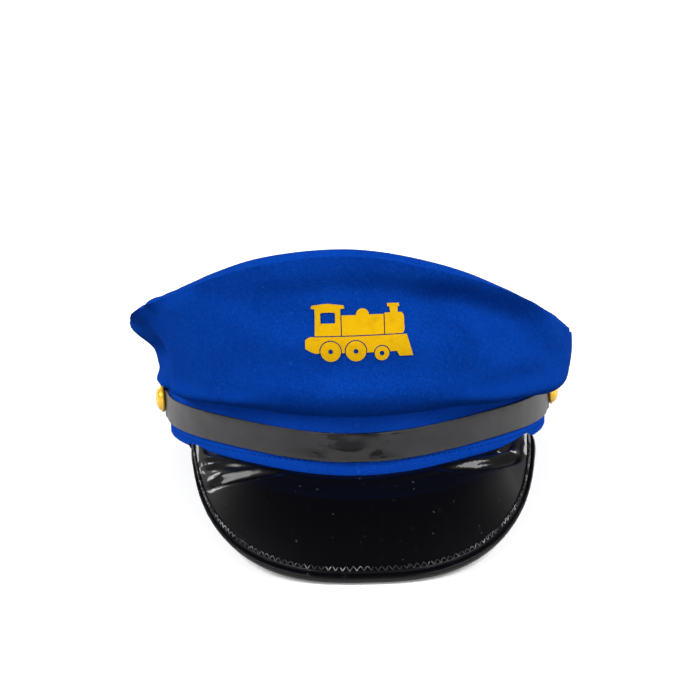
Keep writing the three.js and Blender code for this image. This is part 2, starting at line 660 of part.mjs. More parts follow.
// Triangles that replace one triangle whose sides are split at the given points, or -1 where whole.
function splitTriangle(corner, split) {
  const count = split.filter((point) => point >= 0).length;
  if (count === 0) {
    return corner;
  }
  if (count === 3) {
    const [a, b, c] = corner;
    const [ab, bc, ca] = split;
    return [a, ab, ca, ab, b, bc, ca, bc, c, ab, bc, ca];
  }
  const first = split.findIndex((point) => (count === 1 ? point >= 0 : point < 0));
  const [a, b, c] = [0, 1, 2].map((turn) => corner[(first + turn) % 3]);
  const [ab, bc, ca] = [0, 1, 2].map((turn) => split[(first + turn) % 3]);
  if (count === 1) {
    return [a, ab, c, ab, b, c];
  }
  return [a, b, bc, a, bc, ca, ca, bc, c];
}

// Azimuth and level of the crown's surface at a place on the front, by stepping towards it.
function crownPlace(x, z) {
  const front = ovalRadius(0, BAND_WALL + CROWN_REACH / 2);
  let azimuth = x / front;
  let level = 0.5;
  for (let step = 0; step < PLACE_STEPS; step += 1) {
    const point = crownPoint(azimuth, level);
    azimuth += (x - point.x) / front;
    level += (z - point.z) / CROWN_HEIGHT;
  }
  return { azimuth, level };
}

// Thin plate of an outline, bent onto the front of the crown.
function printGeometry(shape) {
  const plate = new THREE.ExtrudeGeometry(shape, {
    depth: PRINT_WALL,
    bevelEnabled: false,
    curveSegments: PRINT_CURVE_SPANS,
  });
  const flat = weldedGeometry(plate);
  const points = [];
  for (let i = 0; i < flat.attributes.position.count; i += 1) {
    points.push(new THREE.Vector3().fromBufferAttribute(flat.attributes.position, i));
  }
  const faces = refinedFaces(points, [...flat.getIndex().array], PRINT_STEP);
  const tilt = radians(PRINT_TILT);
  const bent = points.map((point) => {
    const x = PRINT_SIDE + point.x * Math.cos(tilt) - point.y * Math.sin(tilt);
    const z = BAND_HEIGHT + PRINT_LEVEL + point.x * Math.sin(tilt) + point.y * Math.cos(tilt);
    const place = crownPlace(x, z);
    const normal = crownNormal(crownPoint, place.azimuth, place.level);
    return crownPoint(place.azimuth, place.level).addScaledVector(normal, PRINT_GAP + point.z);
  });
  return outwardGeometry(bent, faces);
}

// Angle that the cap tips back to stand on the back of its band and the tip of its peak.
function restAngle(binding) {
  const back = HEAD_LENGTH / 2 + BAND_WALL;
  const position = binding.attributes.position;
  let angle = 0;
  for (let i = 0; i < position.count; i += 1) {
    angle = Math.max(angle, Math.atan2(-position.getZ(i), back - position.getY(i)));
  }
  return angle;
}

const tipped = new THREE.Group();

function addPiece(name, geometry, material) {
  const mesh = new THREE.Mesh(geometry, material);
  mesh.name = name;
  tipped.add(mesh);
  return mesh;
}

addPiece("crown_side", crownSideGeometry(), BLUE_CLOTH);
addPiece("crown_top", crownTopGeometry(), BLUE_CLOTH);
addPiece("band", bandGeometry(), BLUE_CLOTH);
addPiece("strap", strapGeometry(), STRAP_BLACK);
addPiece("peak", peakGeometry(), PATENT);
const binding = addPiece("peak_binding", bindingGeometry(), PATENT);

for (const [name, side] of [["button_left", -1], ["button_right", 1]]) {
  const azimuth = side * radians(STRAP_REACH - BUTTON_FROM_END);
  const button = addPiece(name, buttonGeometry(), GOLD);
  const seat = BAND_WALL + SEAM_GAP + 2 * STRAP_WALL + SEAM_GAP;
  button.position.copy(bandPoint(azimuth, seat, STRAP_HEIGHT + STRAP_WIDTH / 2 + BUTTON_RISE));
  const outward = polarPoint(azimuth, 1, 0);
  button.quaternion.setFromUnitVectors(new THREE.Vector3(0, 1, 0), outward);
}

for (const [name, shape] of Object.entries(engineOutlines())) {
  addPiece(name, printGeometry(shape), PRINT_YELLOW);
}

tipped.rotation.x = -restAngle(binding.geometry);

// The cap's own frame: the floor at zero height, under the middle of the cap.
const cap = new THREE.Group();
cap.add(tipped);
const box = new THREE.Box3().setFromObject(cap, true);
const middle = box.getCenter(new THREE.Vector3());
tipped.position.set(-middle.x, -middle.y, -box.min.z);

export default cap;
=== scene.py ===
"""A child's conductor's cap of royal blue twill: its sewn cloth, patent peak, strap, buttons and print."""

import logging
import math
from dataclasses import dataclass, field
from enum import Enum
from typing import Callable

import bpy
import numpy as np
from bpy.types import Material, NodeSocket, Object
from mathutils import Matrix, Vector, noise
from mathutils.bvhtree import BVHTree

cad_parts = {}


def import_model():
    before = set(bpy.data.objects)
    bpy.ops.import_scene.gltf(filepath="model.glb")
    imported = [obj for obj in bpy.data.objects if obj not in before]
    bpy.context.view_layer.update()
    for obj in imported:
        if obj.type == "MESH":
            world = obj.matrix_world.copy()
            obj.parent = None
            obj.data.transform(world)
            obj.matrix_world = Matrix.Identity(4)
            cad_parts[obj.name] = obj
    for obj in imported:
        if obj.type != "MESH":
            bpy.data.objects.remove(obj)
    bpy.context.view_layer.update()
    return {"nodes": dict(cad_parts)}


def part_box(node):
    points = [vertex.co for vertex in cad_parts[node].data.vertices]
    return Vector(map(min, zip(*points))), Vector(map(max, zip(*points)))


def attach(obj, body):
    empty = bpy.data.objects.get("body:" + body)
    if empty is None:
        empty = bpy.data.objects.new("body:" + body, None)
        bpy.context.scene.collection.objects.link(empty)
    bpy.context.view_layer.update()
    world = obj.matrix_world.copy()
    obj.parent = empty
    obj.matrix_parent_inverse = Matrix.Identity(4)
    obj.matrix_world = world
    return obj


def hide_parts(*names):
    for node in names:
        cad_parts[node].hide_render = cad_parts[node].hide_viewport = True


log = logging.getLogger("conductor_cap")
Triple = tuple[float, float, float]

MM = 0.001
WEAVE_MAP = "weave"
SHARP_EDGE = math.radians(50)
WRAP_RADIUS = 88.0  # millimetres; lengths round the cap are taken at this radius
CLOTH_TURN = 2 * math.pi * WRAP_RADIUS * MM


# Number tools


def bell(distance: np.ndarray, reach: float) -> np.ndarray:
    """Share that is 1 at no distance and dies away over the reach."""
    return np.exp(-((distance / reach) ** 2))


def ease(share: np.ndarray) -> np.ndarray:
    """Smooth step of a share, which is first held between 0 and 1."""
    share = np.clip(share, 0, 1)
    return share * share * (3 - 2 * share)


def lumps(*places: np.ndarray | float) -> np.ndarray:
    """Smooth noise at places given by their three coordinates."""
    return np.array([noise.noise(Vector(place)) for place in np.stack(np.broadcast_arrays(*places), 1)])


# Shader maths


class Socket:
    """An output of a material's nodes, used in sums like a number."""

    def __init__(self, board: "Board", output: NodeSocket) -> None:
        """Keeps the output and the board of nodes that it is on."""
        self.board = board
        self.output = output

    def _with(self, operation: str, *terms: "Socket | float") -> "Socket":
        """Result of a Math node, from its operation and its inputs in order."""
        return self.board.node("ShaderNodeMath", {"operation": operation}, dict(enumerate(terms)))

    def __add__(self, other: "Socket | float") -> "Socket":
        """self + other."""
        return self._with("ADD", self, other)

    def __radd__(self, other: "Socket | float") -> "Socket":
        """other + self."""
        return self._with("ADD", other, self)

    def __sub__(self, other: "Socket | float") -> "Socket":
        """self - other."""
        return self._with("SUBTRACT", self, other)

    def __rsub__(self, other: "Socket | float") -> "Socket":
        """other - self."""
        return self._with("SUBTRACT", other, self)

    def __mul__(self, other: "Socket | float") -> "Socket":
        """self * other."""
        return self._with("MULTIPLY", self, other)

    def __rmul__(self, other: "Socket | float") -> "Socket":
        """other * self."""
        return self._with("MULTIPLY", other, self)

    def sine(self) -> "Socket":
        """Sine of the value."""
        return self._with("SINE", self)

    def size(self) -> "Socket":
        """The value without its sign."""
        return self._with("ABSOLUTE", self)

    def ramp(self, low: float, high: float, start: float = 0.0, end: float = 1.0) -> "Socket":
        """Smooth step of the value.

        Args:
            low: value at which the step starts.
            high: value at which it ends.
            start: result below it.
            end: result above it.

        Returns:
            The stepped value.
        """
        settings = {"interpolation_type": "SMOOTHSTEP"}
        return self.board.node("ShaderNodeMapRange", settings, {0: self, 1: low, 2: high, 3: start, 4: end})


class Board:
    """The nodes of one material."""

    def __init__(self, name: str) -> None:
        """Starts an empty material of that name."""
        self.material = bpy.data.materials.new(name)
        self.material.use_nodes = True
        self.tree = self.material.node_tree
        self.tree.nodes.clear()

    def node(
        self, kind: str, settings: dict | None = None, values: dict | None = None, result: int | str = 0
    ) -> Socket:
        """Adds one node.

        Args:
            kind: the node's type.
            settings: its own settings, set before its sockets; "stops" holds a colour ramp's stops.
            values: value or link of each input, by name or place.
            result: name or place of the output that is given back.

        Returns:
            That output.
        """
        made = self.tree.nodes.new(kind)
        for name, value in (settings or {}).items():
            if name == "stops":
                elements = made.color_ramp.elements
                while len(elements) < len(value):
                    elements.new(0.5)
                for element, (place, colour) in zip(elements, value):
                    element.position = place
                    element.color = (*colour, 1.0)
            else:
                setattr(made, name, value)
        for name, value in (values or {}).items():
            target = made.inputs[name]
            if isinstance(value, Socket):
                self.tree.links.new(value.output, target)
            elif isinstance(value, tuple) and target.type == "RGBA":
                target.default_value = (*value, 1.0)
            else:
                target.default_value = value
        return Socket(self, made.outputs[result])

    def place(self) -> Socket:
        """Object coordinates."""
        return self.node("ShaderNodeTexCoord", result="Object")

    def cloth_map(self) -> tuple[Socket, Socket]:
        """Places round and up the piece's own flat cloth, in metres."""
        cloth = self.node("ShaderNodeUVMap", {"uv_map": WEAVE_MAP})
        across = self.node("ShaderNodeSeparateXYZ", {}, {0: cloth})
        return across, Socket(self, across.output.node.outputs[1])

    def mapped(self, place: Socket, scale: Triple) -> Socket:
        """Coordinates stretched by a scale along each axis."""
        return self.node("ShaderNodeMapping", {}, {"Vector": place, "Scale": scale})

    def grain(self, place: Socket, scale: float, detail: float = 2.0, rough: float = 0.5) -> Socket:
        """Noise from 0 to 1, by its lumps for each metre, its octaves and the share of the finer ones."""
        values = {"Vector": place, "Scale": scale, "Detail": detail, "Roughness": rough}
        return self.node("ShaderNodeTexNoise", {}, values, "Fac")

    def mix(self, share: Socket | float, low: Socket | tuple, high: Socket | tuple) -> Socket:
        """Blend of two colours: a share of 0 gives the first and 1 the second."""
        settings = {"data_type": "RGBA", "clamp_factor": True}
        return self.node("ShaderNodeMix", settings, {0: share, 6: low, 7: high}, 2)

    def bump(self, height: Socket, depth: float, strength: float = 1.0, below: Socket | None = None) -> Socket:
        """Normal of a relief.

        Args:
            height: relief from 0 to 1.
            depth: its depth in metres.
            strength: how much of it shows.
            below: normal that it is laid on.

        Returns:
            The normal.
        """
        values = {"Height": height, "Distance": depth, "Strength": strength}
        if below is not None:
            values["Normal"] = below
        return self.node("ShaderNodeBump", {}, values)

    def finish(self, values: dict) -> Material:
        """Closes the material with a principled surface of those input values or links."""
        surface = self.node("ShaderNodeBsdfPrincipled", {}, values)
        out = self.tree.nodes.new("ShaderNodeOutputMaterial")
        self.tree.links.new(surface.output, out.inputs["Surface"])
        return self.material


# Finishes


@dataclass(frozen=True)
class TwillFinish:
    """Cotton twill: fine slanting ribs with slubs, lint and a soft sheen."""

    name: str = "blue_twill"
    colour: Triple = (0.0013, 0.036, 0.285)
    deep: Triple = (0.0008, 0.029, 0.245)
    pale: Triple = (0.006, 0.088, 0.50)
    rib_pitch: float = 1.05 * MM
    yarn_pitch: float = 0.62 * MM
    relief: float = 0.24 * MM
    thread: Triple = (0.001, 0.008, 0.07)
    hem_height: float = 2.3 * MM
    stitch_pitch: float = 2.4 * MM
    seam_at_front: bool = False
    rib_slant: float = 1.3
    yarn_slant: float = 0.8
    rib_wander: float = 5.0
    ior: float = 1.05
    sheen: float = 0.02
    sheen_tint: Triple = (0.0, 0.3, 1.0)

    def material(self) -> Material:
        """The cloth's material."""
        board = Board(self.name)
        across, up = board.cloth_map()
        place = board.place()
        wander = board.grain(place, 260.0, 3.0)
        slant = (across + up * self.rib_slant) * (2 * math.pi / self.rib_pitch)
        rib = (slant + wander * self.rib_wander).sine()
        yarn = ((across * self.yarn_slant - up) * (2 * math.pi / self.yarn_pitch) + wander * 4.0).sine()
        fuzz = board.grain(place, 2600.0, 4.0, 0.65)
        relief = rib * 0.34 + yarn * 0.2 + fuzz * 0.8 + 0.2
        cloud = board.grain(place, 38.0, 4.0, 0.6)
        lint = board.grain(board.mapped(place, (1.0, 1.0, 0.55)), 1150.0, 1.0).ramp(0.70, 0.76)
        shade = board.mix(cloud.ramp(0.3, 0.7), self.deep, self.colour)
        slub = board.grain(place, 900.0, 3.0, 0.6)
        shade = board.mix(rib.ramp(-1.0, 1.0, 0.0, 0.34) * slub.ramp(0.35, 0.65), shade, self.pale)
        shade = board.mix(lint * 0.5, shade, self.pale)
        if self.seam_at_front:
            wear_and_glints = across.size().ramp(0.25 * MM, 0.9 * MM, 1.0, 0.0)
            wear_and_glints = wear_and_glints * board.grain(place, 700.0, 2.0).ramp(0.35, 0.65)
            shade = board.mix(wear_and_glints * 0.55, shade, self.pale)
            gap = (across * (2 * math.pi / self.stitch_pitch)).sine().ramp(-0.6, 0.2)
            stitch = (up - self.hem_height).size().ramp(0.12 * MM, 0.4 * MM, 1.0, 0.0) * gap
            shade = board.mix(stitch * 0.55, shade, self.thread)
            relief = relief - stitch * 0.9
        normal = board.bump(relief, self.relief, 0.9)
        return board.finish(
            {
                "Base Color": shade,
                "Roughness": fuzz.ramp(0.2, 0.8, 0.8, 0.95),
                "IOR": self.ior,
                "Sheen Weight": self.sheen,
                "Sheen Roughness": 0.5,
                "Sheen Tint": self.sheen_tint,
                "Normal": normal,
            }
        )


@dataclass(frozen=True)
class PatentFinish:
    """Black patent vinyl: a deep gloss with slow ripples, dust and hairline scuffs."""

    name: str = "black_patent"
    colour: Triple = (0.0012, 0.0012, 0.0018)
    dust: Triple = (0.05, 0.05, 0.052)
    roughness: float = 0.04
    haze: float = 0.38
    gloss: float = 0.6
    ripple: float = 0.12 * MM
    peel: float = 0.012 * MM
    specular: float = 0.11

    def material(self) -> Material:
        """The vinyl's material."""
        board = Board(self.name)
        place = board.place()
        ripple = board.grain(place, 28.0, 1.5, 0.4)
        orange_peel = board.grain(place, 520.0, 2.0, 0.5)
        scuffs = board.grain(board.mapped(place, (1.0, 0.16, 1.0)), 420.0, 2.0).ramp(0.66, 0.78)
        dust = board.grain(place, 620.0, 0.0).ramp(0.83, 0.86)
        normal = board.bump(ripple, self.ripple, 0.5)
        normal = board.bump(orange_peel, self.peel, 0.6, normal)
        return board.finish(
            {
                "Base Color": board.mix(dust * 0.5 + scuffs * 0.05, self.colour, self.dust),
                "Roughness": ripple * 0.05 + scuffs * 0.10 + self.haze,
                "Specular IOR Level": self.specular,
                "Coat Weight": self.gloss,
                "Coat Roughness": self.roughness,
                "Coat IOR": 1.5,
                "Normal": normal,
                "Coat Normal": normal,
            }
        )


@dataclass(frozen=True)
class SatinFinish:
    """Satin black vinyl of the strap. Patches at the front and low down are darker, as painted shade standing in
    for darker reflections there, and glossier.
    """

    name: str = "strap_satin"
    colour: Triple = (0.0115, 0.0113, 0.013)
    grey: Triple = (0.019, 0.0186, 0.0212)
    # The darkest colour below is the painted shade of the patches at the front and low down.
    black: Triple = (0.004, 0.004, 0.005)
    specular: float = 0.32

    def material(self) -> Material:
        """The strap's material."""
        board = Board(self.name)
        place = board.place()
        cloud = board.grain(board.mapped(place, (1.0, 1.0, 2.2)), 55.0, 3.0)
        across, up = board.cloth_map()
        torn = board.grain(board.mapped(place, (0.7, 0.7, 2.6)), 150.0, 3.0)
        # Painted shade: the strap is darkened at the front and low down, standing in for darker reflections there;
        # those patches are also made glossier.
        front_shade = (across + 1 * MM).size().ramp(4 * MM, 19 * MM, 0.34, 0.0) + torn
        lower = (across + 7 * MM).size().ramp(8 * MM, 30 * MM, 0.30, 0.0)
        lower = lower + up.ramp(5.5 * MM, 9.5 * MM, 0.42, 0.0)
        painted_shade_and_gloss = front_shade.ramp(0.70, 0.78) * 0.85 + (lower + torn * 0.5).ramp(0.72, 0.86) * 0.75
        pebble = board.grain(place, 1500.0, 3.0, 0.6)
        dent = board.grain(board.mapped(place, (1.0, 1.0, 1.6)), 95.0, 2.0)
        normal = board.bump(dent, 0.6 * MM, 0.3)
        normal = board.bump(pebble, 0.02 * MM, 0.5, normal)
        grey = board.mix(cloud.ramp(0.35, 0.65), self.colour, self.grey)
        return board.finish(
            {
                "Base Color": board.mix(painted_shade_and_gloss, grey, self.black),
                "Roughness": 0.42 + cloud * 0.06 - painted_shade_and_gloss * 0.22,
                "Specular IOR Level": self.specular,
                "Normal": normal,
            }
        )


@dataclass(frozen=True)
class GoldFinish:
    """Bright gold plating, a little tarnished in random patches."""

    name: str = "button_gold"
    colour: Triple = (0.82, 0.48, 0.03)
    tarnish: Triple = (0.46, 0.24, 0.012)

    def material(self) -> Material:
        """The plating's material."""
        board = Board(self.name)
        place = board.place()
        cloud = board.grain(place, 420.0, 3.0)
        fine = board.grain(place, 2800.0, 2.0)
        return board.finish(
            {
                "Base Color": board.mix(cloud.ramp(0.52, 0.75), self.colour, self.tarnish),
                "Metallic": 0.2 + fine * 0.08,
                "Roughness": 0.20 + cloud * 0.10,
                "Normal": board.bump(fine, 0.03 * MM, 0.5),
            }
        )


@dataclass(frozen=True)
class PrintFinish:
    """Heat-pressed yellow film that takes the cloth's ribs, rubbed thinner in random patches."""

    name: str = "yellow_print"
    colour: Triple = (0.58, 0.328, 0.0015)
    rubbed: Triple = (0.51, 0.276, 0.0015)
    bright: Triple = (0.69, 0.44, 0.008)
    rib_slant: float = 1.15
    ior: float = 1.12

    def material(self) -> Material:
        """The film's material."""
        board = Board(self.name)
        place = board.place()
        across, up = board.cloth_map()
        wander = board.grain(place, 260.0, 3.0)
        slant = (across + up * self.rib_slant) * (2 * math.pi / TwillFinish.rib_pitch)
        rib = (slant + wander * TwillFinish.rib_wander).sine()
        fuzz = board.grain(place, 2200.0, 3.0, 0.6)
        cloud = board.grain(place, 240.0, 3.0)
        colour = board.mix(cloud.ramp(0.25, 0.5), self.rubbed, self.colour)
        colour = board.mix(fuzz.ramp(0.52, 0.72) * 0.4, colour, self.bright)
        return board.finish(
            {
                "Base Color": colour,
                "Roughness": fuzz.ramp(0.2, 0.8, 0.55, 0.75),
                "IOR": self.ior,
                "Normal": board.bump(rib * 0.25 + fuzz, 0.09 * MM, 0.6),
            }
        )


@dataclass(frozen=True)
class ThreadFinish:
    """Twisted sewing thread, dark, with grey patches painted on it as glints."""

    name: str = "grey_thread"
    # The grey colour is painted glint; the dark one is the thread's own colour.
    colour: Triple = (0.26, 0.26, 0.27)
    dark: Triple = (0.012, 0.012, 0.014)

    def material(self) -> Material:
        """The thread's material."""
        board = Board(self.name)
        place = board.place()
        # Painted glints: grey patches at random along the dark thread stand in for the light it catches.
        wear_and_glints = board.grain(place, 160.0, 2.0)
        twist = board.grain(place, 3200.0, 1.0)
        return board.finish(
            {
                "Base Color": board.mix(wear_and_glints.ramp(0.46, 0.66), self.dark, self.colour),
                "Roughness": 0.30 + twist * 0.2,
                "Specular IOR Level": 0.6,
                "Normal": board.bump(twist, 0.05 * MM, 0.7),
            }
        )


@dataclass(frozen=True)
class FloorFinish:
    """Plain pale paper of the floor, lit a little from below."""

    name: str = "pale_paper"
    colour: Triple = (0.93, 0.93, 0.93)
    pale: Triple = (0.95, 0.95, 0.95)
    glow: float = 0.16

    def material(self) -> Material:
        """The paper's material."""
        board = Board(self.name)
        cloud = board.grain(board.place(), 2.0, 2.0)
        shade = board.mix(cloud.ramp(0.2, 0.8), self.colour, self.pale)
        values = {"Base Color": shade, "Roughness": 0.9, "Specular IOR Level": 0.1}
        values |= {"Emission Color": shade, "Emission Strength": self.glow}
        return board.finish(values)


# Mesh tools


class Side(Enum):
    """A side of the cap, with its sign along X."""

    LEFT = -1
    RIGHT = 1


class Bench:
    """Tools for the meshes of the cap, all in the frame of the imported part."""

    @staticmethod
    def pick(piece: Object) -> None:
        """Selects one object alone and makes it active."""
        bpy.ops.object.select_all(action="DESELECT")
        piece.select_set(True)
        bpy.context.view_layer.objects.active = piece

    @staticmethod
    def copy_of(node: Object, name: str) -> Object:
        """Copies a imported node's mesh into a new piece, with its triangles merged and paired.

        Args:
            node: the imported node.
            name: the new piece's name.

        Returns:
            The new piece.
        """
        piece = bpy.data.objects.new(name, node.data.copy())
        bpy.context.scene.collection.objects.link(piece)
        piece.data.materials.clear()
        Bench.pick(piece)
        bpy.ops.object.mode_set(mode="EDIT")
        bpy.ops.mesh.select_all(action="SELECT")
        bpy.ops.mesh.remove_doubles(threshold=0.01 * MM)
        bpy.ops.mesh.tris_convert_to_quads(face_threshold=math.radians(40), shape_threshold=math.radians(50))
        bpy.ops.object.mode_set(mode="OBJECT")
        return piece

    @staticmethod
    def crease_sharp(piece: Object, weight: float) -> None:
        """Marks the sharp edges so that subdivision rounds them tightly.

        Args:
            piece: the piece.
            weight: 0 rounds freely and 1 keeps the edge.
        """
        mesh = piece.data
        faces: dict[tuple[int, int], list[int]] = {}
        for polygon in mesh.polygons:
            for key in polygon.edge_keys:
                faces.setdefault(key, []).append(polygon.index)
        layer = mesh.attributes.get("crease_edge") or mesh.attributes.new("crease_edge", "FLOAT", "EDGE")
        for edge in mesh.edges:
            pair = faces.get(tuple(sorted(edge.vertices)), [])
            if len(pair) == 2:
                turn = mesh.polygons[pair[0]].normal.angle(mesh.polygons[pair[1]].normal, 0.0)
                layer.data[edge.index].value = weight if turn > SHARP_EDGE else 0.0

    @staticmethod
    def rounded(node: Object, name: str, sharpness: float, levels: int) -> Object:
        """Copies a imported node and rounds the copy.

        Args:
            node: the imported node.
            name: the new piece's name.
            sharpness: how far its sharp edges are kept.
            levels: the subdivision surface's level.

        Returns:
            The new piece.
        """
        piece = Bench.copy_of(node, name)
        Bench.crease_sharp(piece, sharpness)
        Bench.subdivide(piece, levels)
        return piece

    @staticmethod
    def subdivide(piece: Object, levels: int, rounds: int = 3) -> None:
        """Rounds the piece with a subdivision surface that still runs through the piece's own corners.

        Args:
            piece: the piece.
            levels: the surface's level.
            rounds: times that the corners are corrected first.
        """
        wanted = Bench.corners(piece)
        for _ in range(rounds):
            trial = bpy.data.objects.new("trial", piece.data.copy())
            bpy.context.scene.collection.objects.link(trial)
            Bench.round_off(trial, 1)
            missed = wanted - Bench.corners(trial)[: len(wanted)]
            Bench.set_corners(piece, Bench.corners(piece) + missed)
            bpy.data.objects.remove(trial)
        Bench.round_off(piece, levels)

    @staticmethod
    def round_off(piece: Object, levels: int) -> None:
        """Applies a subdivision surface to the piece."""
        Bench.pick(piece)
        surface = piece.modifiers.new("round_off", "SUBSURF")
        surface.levels = levels
        surface.render_levels = levels
        bpy.ops.object.modifier_apply(modifier=surface.name)

    @staticmethod
    def smooth(piece: Object, angle: float = 40.0) -> None:
        """Shades the piece smoothly, except over edges sharper than an angle in degrees."""
        Bench.pick(piece)
        bpy.ops.object.shade_smooth_by_angle(angle=math.radians(angle))

    @staticmethod
    def face_out(piece: Object) -> None:
        """Turns all faces of the piece outwards."""
        Bench.pick(piece)
        bpy.ops.object.mode_set(mode="EDIT")
        bpy.ops.mesh.select_all(action="SELECT")
        bpy.ops.mesh.normals_make_consistent(inside=False)
        bpy.ops.object.mode_set(mode="OBJECT")

    @staticmethod
    def corners(piece: Object) -> np.ndarray:
        """All vertices of the piece, one row each."""
        points = np.empty(len(piece.data.vertices) * 3)
        piece.data.vertices.foreach_get("co", points)
        return points.reshape(-1, 3)

    @staticmethod
    def set_corners(piece: Object, points: np.ndarray) -> None:
        """Moves the piece's vertices to new places."""
        piece.data.vertices.foreach_set("co", points.astype(np.float32).ravel())
        piece.data.update()

    @staticmethod
    def map_cloth(piece: Object, lay: Callable[[np.ndarray], np.ndarray], turn: float = 0.0) -> None:
        """Gives the piece a cloth map in metres.

        Args:
            piece: the piece.
            lay: turns vertices into places on the flat cloth.
            turn: length of one whole turn across, where the map closes on itself, or 0.
        """
        mesh = piece.data
        flat = lay(Bench.corners(piece))
        loops = np.empty(len(mesh.loops), dtype=np.int64)
        mesh.loops.foreach_get("vertex_index", loops)
        places = flat[loops]
        if turn:
            starts = np.empty(len(mesh.polygons), dtype=np.int64)
            totals = np.empty(len(mesh.polygons), dtype=np.int64)
            mesh.polygons.foreach_get("loop_start", starts)
            mesh.polygons.foreach_get("loop_total", totals)
            owner = np.repeat(np.arange(len(starts)), totals)
            highest = np.full(len(starts), -1e9)
            np.maximum.at(highest, owner, places[:, 0])
            behind = highest[owner] - places[:, 0] > turn / 2
            places[behind, 0] += turn
        layer = mesh.uv_layers.get(WEAVE_MAP) or mesh.uv_layers.new(name=WEAVE_MAP)
        layer.data.foreach_set("uv", places.astype(np.float32).ravel())

    @staticmethod
    def from_points(name: str, points: np.ndarray, faces: list) -> Object:
        """Makes a piece from vertices and faces.

        Args:
            name: the piece's name.
            points: its vertices, one row each.
            faces: tuples of vertex numbers.

        Returns:
            The piece.
        """
        mesh = bpy.data.meshes.new(name)
        mesh.from_pydata([tuple(point) for point in points], [], faces)
        mesh.update()
        piece = bpy.data.objects.new(name, mesh)
        bpy.context.scene.collection.objects.link(piece)
        return piece

    @staticmethod
    def tree(*pieces: Object) -> BVHTree:
        """Search tree of the pieces' faces."""
        points: list = []
        faces: list = []
        for piece in pieces:
            start = len(points)
            points.extend(vertex.co.copy() for vertex in piece.data.vertices)
            faces.extend([start + i for i in polygon.vertices] for polygon in piece.data.polygons)
        return BVHTree.FromPolygons(points, faces)

    @staticmethod
    def dress(piece: Object, material: Material, slot: str, *nodes: str) -> None:
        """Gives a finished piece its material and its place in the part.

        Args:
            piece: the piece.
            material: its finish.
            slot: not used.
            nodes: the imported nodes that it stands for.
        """
        piece.data.materials.clear()
        piece.data.materials.append(material)
        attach(piece, "root")
        if nodes:
            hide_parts(*nodes)
        log.info("%s: %d faces", piece.name, len(piece.data.polygons))


# The cap


@dataclass(frozen=True)
class Stance:
    """How the cap stands: it is tipped back on the tip of its peak and the back of its band."""

    tip: float = math.radians(9.514)
    place: Triple = (2.091 * MM, 11.61 * MM, 15.437 * MM)

    def to_band(self, points: np.ndarray) -> np.ndarray:
        """Places in the band's own frame: the middle of the head opening, +Z up through the crown."""
        moved = points - np.array(self.place)
        cos, sin = math.cos(self.tip), math.sin(self.tip)
        out = moved.copy()
        out[:, 1] = moved[:, 1] * cos - moved[:, 2] * sin
        out[:, 2] = moved[:, 1] * sin + moved[:, 2] * cos
        return out

    def to_floor(self, points: np.ndarray) -> np.ndarray:
        """Places in the part's frame, from the band's own frame."""
        cos, sin = math.cos(self.tip), math.sin(self.tip)
        out = points.copy()
        out[:, 1] = points[:, 1] * cos + points[:, 2] * sin
        out[:, 2] = -points[:, 1] * sin + points[:, 2] * cos
        return out + np.array(self.place)

    def unroll(self, points: np.ndarray) -> tuple[np.ndarray, np.ndarray]:
        """Lengths round the cap from its front, and heights over the band's lower edge, in millimetres."""
        local = self.to_band(points) / MM
        return np.arctan2(local[:, 0], -local[:, 1]) * WRAP_RADIUS, local[:, 2]

    def lay(self, points: np.ndarray) -> np.ndarray:
        """Places on the cloth laid flat, in metres."""
        return np.stack(self.unroll(points), 1) * MM

    def push(self, points: np.ndarray, lift: np.ndarray) -> np.ndarray:
        """Moves points outwards from the middle of the head, level with the band, by millimetres."""
        flat = self.to_band(points) * np.array([1, 1, 0])
        flat /= np.linalg.norm(flat, axis=1)[:, None] + 1e-9
        return points + (self.to_floor(flat) - np.array(self.place)) * (lift * MM)[:, None]


@dataclass(frozen=True)
class Crease:
    """A fold or dent along a line on a surface.

    The line's points are places on the flat surface in millimetres. depth is in millimetres, outwards
    positive, width is its spread to each side and fade the length over which its ends die away.
    """

    line: tuple[tuple[float, float], ...]
    depth: float
    width: float
    fade: float = 12.0
    end_share: float = 0.15

    def lift(self, across: np.ndarray, height: np.ndarray) -> np.ndarray:
        """Displacement in millimetres.

        Args:
            across: places across the surface.
            height: places up it.

        Returns:
            One displacement for each point.
        """
        nearest = np.full(len(across), 1e9)
        along = np.zeros(len(across))
        total = sum(math.dist(a, b) for a, b in zip(self.line, self.line[1:]))
        walked = 0.0
        for (ax, ah), (bx, bh) in zip(self.line, self.line[1:]):
            length = math.dist((ax, ah), (bx, bh))
            share = ((across - ax) * (bx - ax) + (height - ah) * (bh - ah)) / length**2
            share = np.clip(share, 0, 1)
            gap = np.hypot(across - ax - share * (bx - ax), height - ah - share * (bh - ah))
            closer = gap < nearest
            nearest = np.where(closer, gap, nearest)
            along = np.where(closer, walked + share * length, along)
            walked += length
        taper = self.end_share + (1 - self.end_share) * ease(np.minimum(along, total - along) / self.fade)
        return self.depth * bell(nearest, self.width) * taper


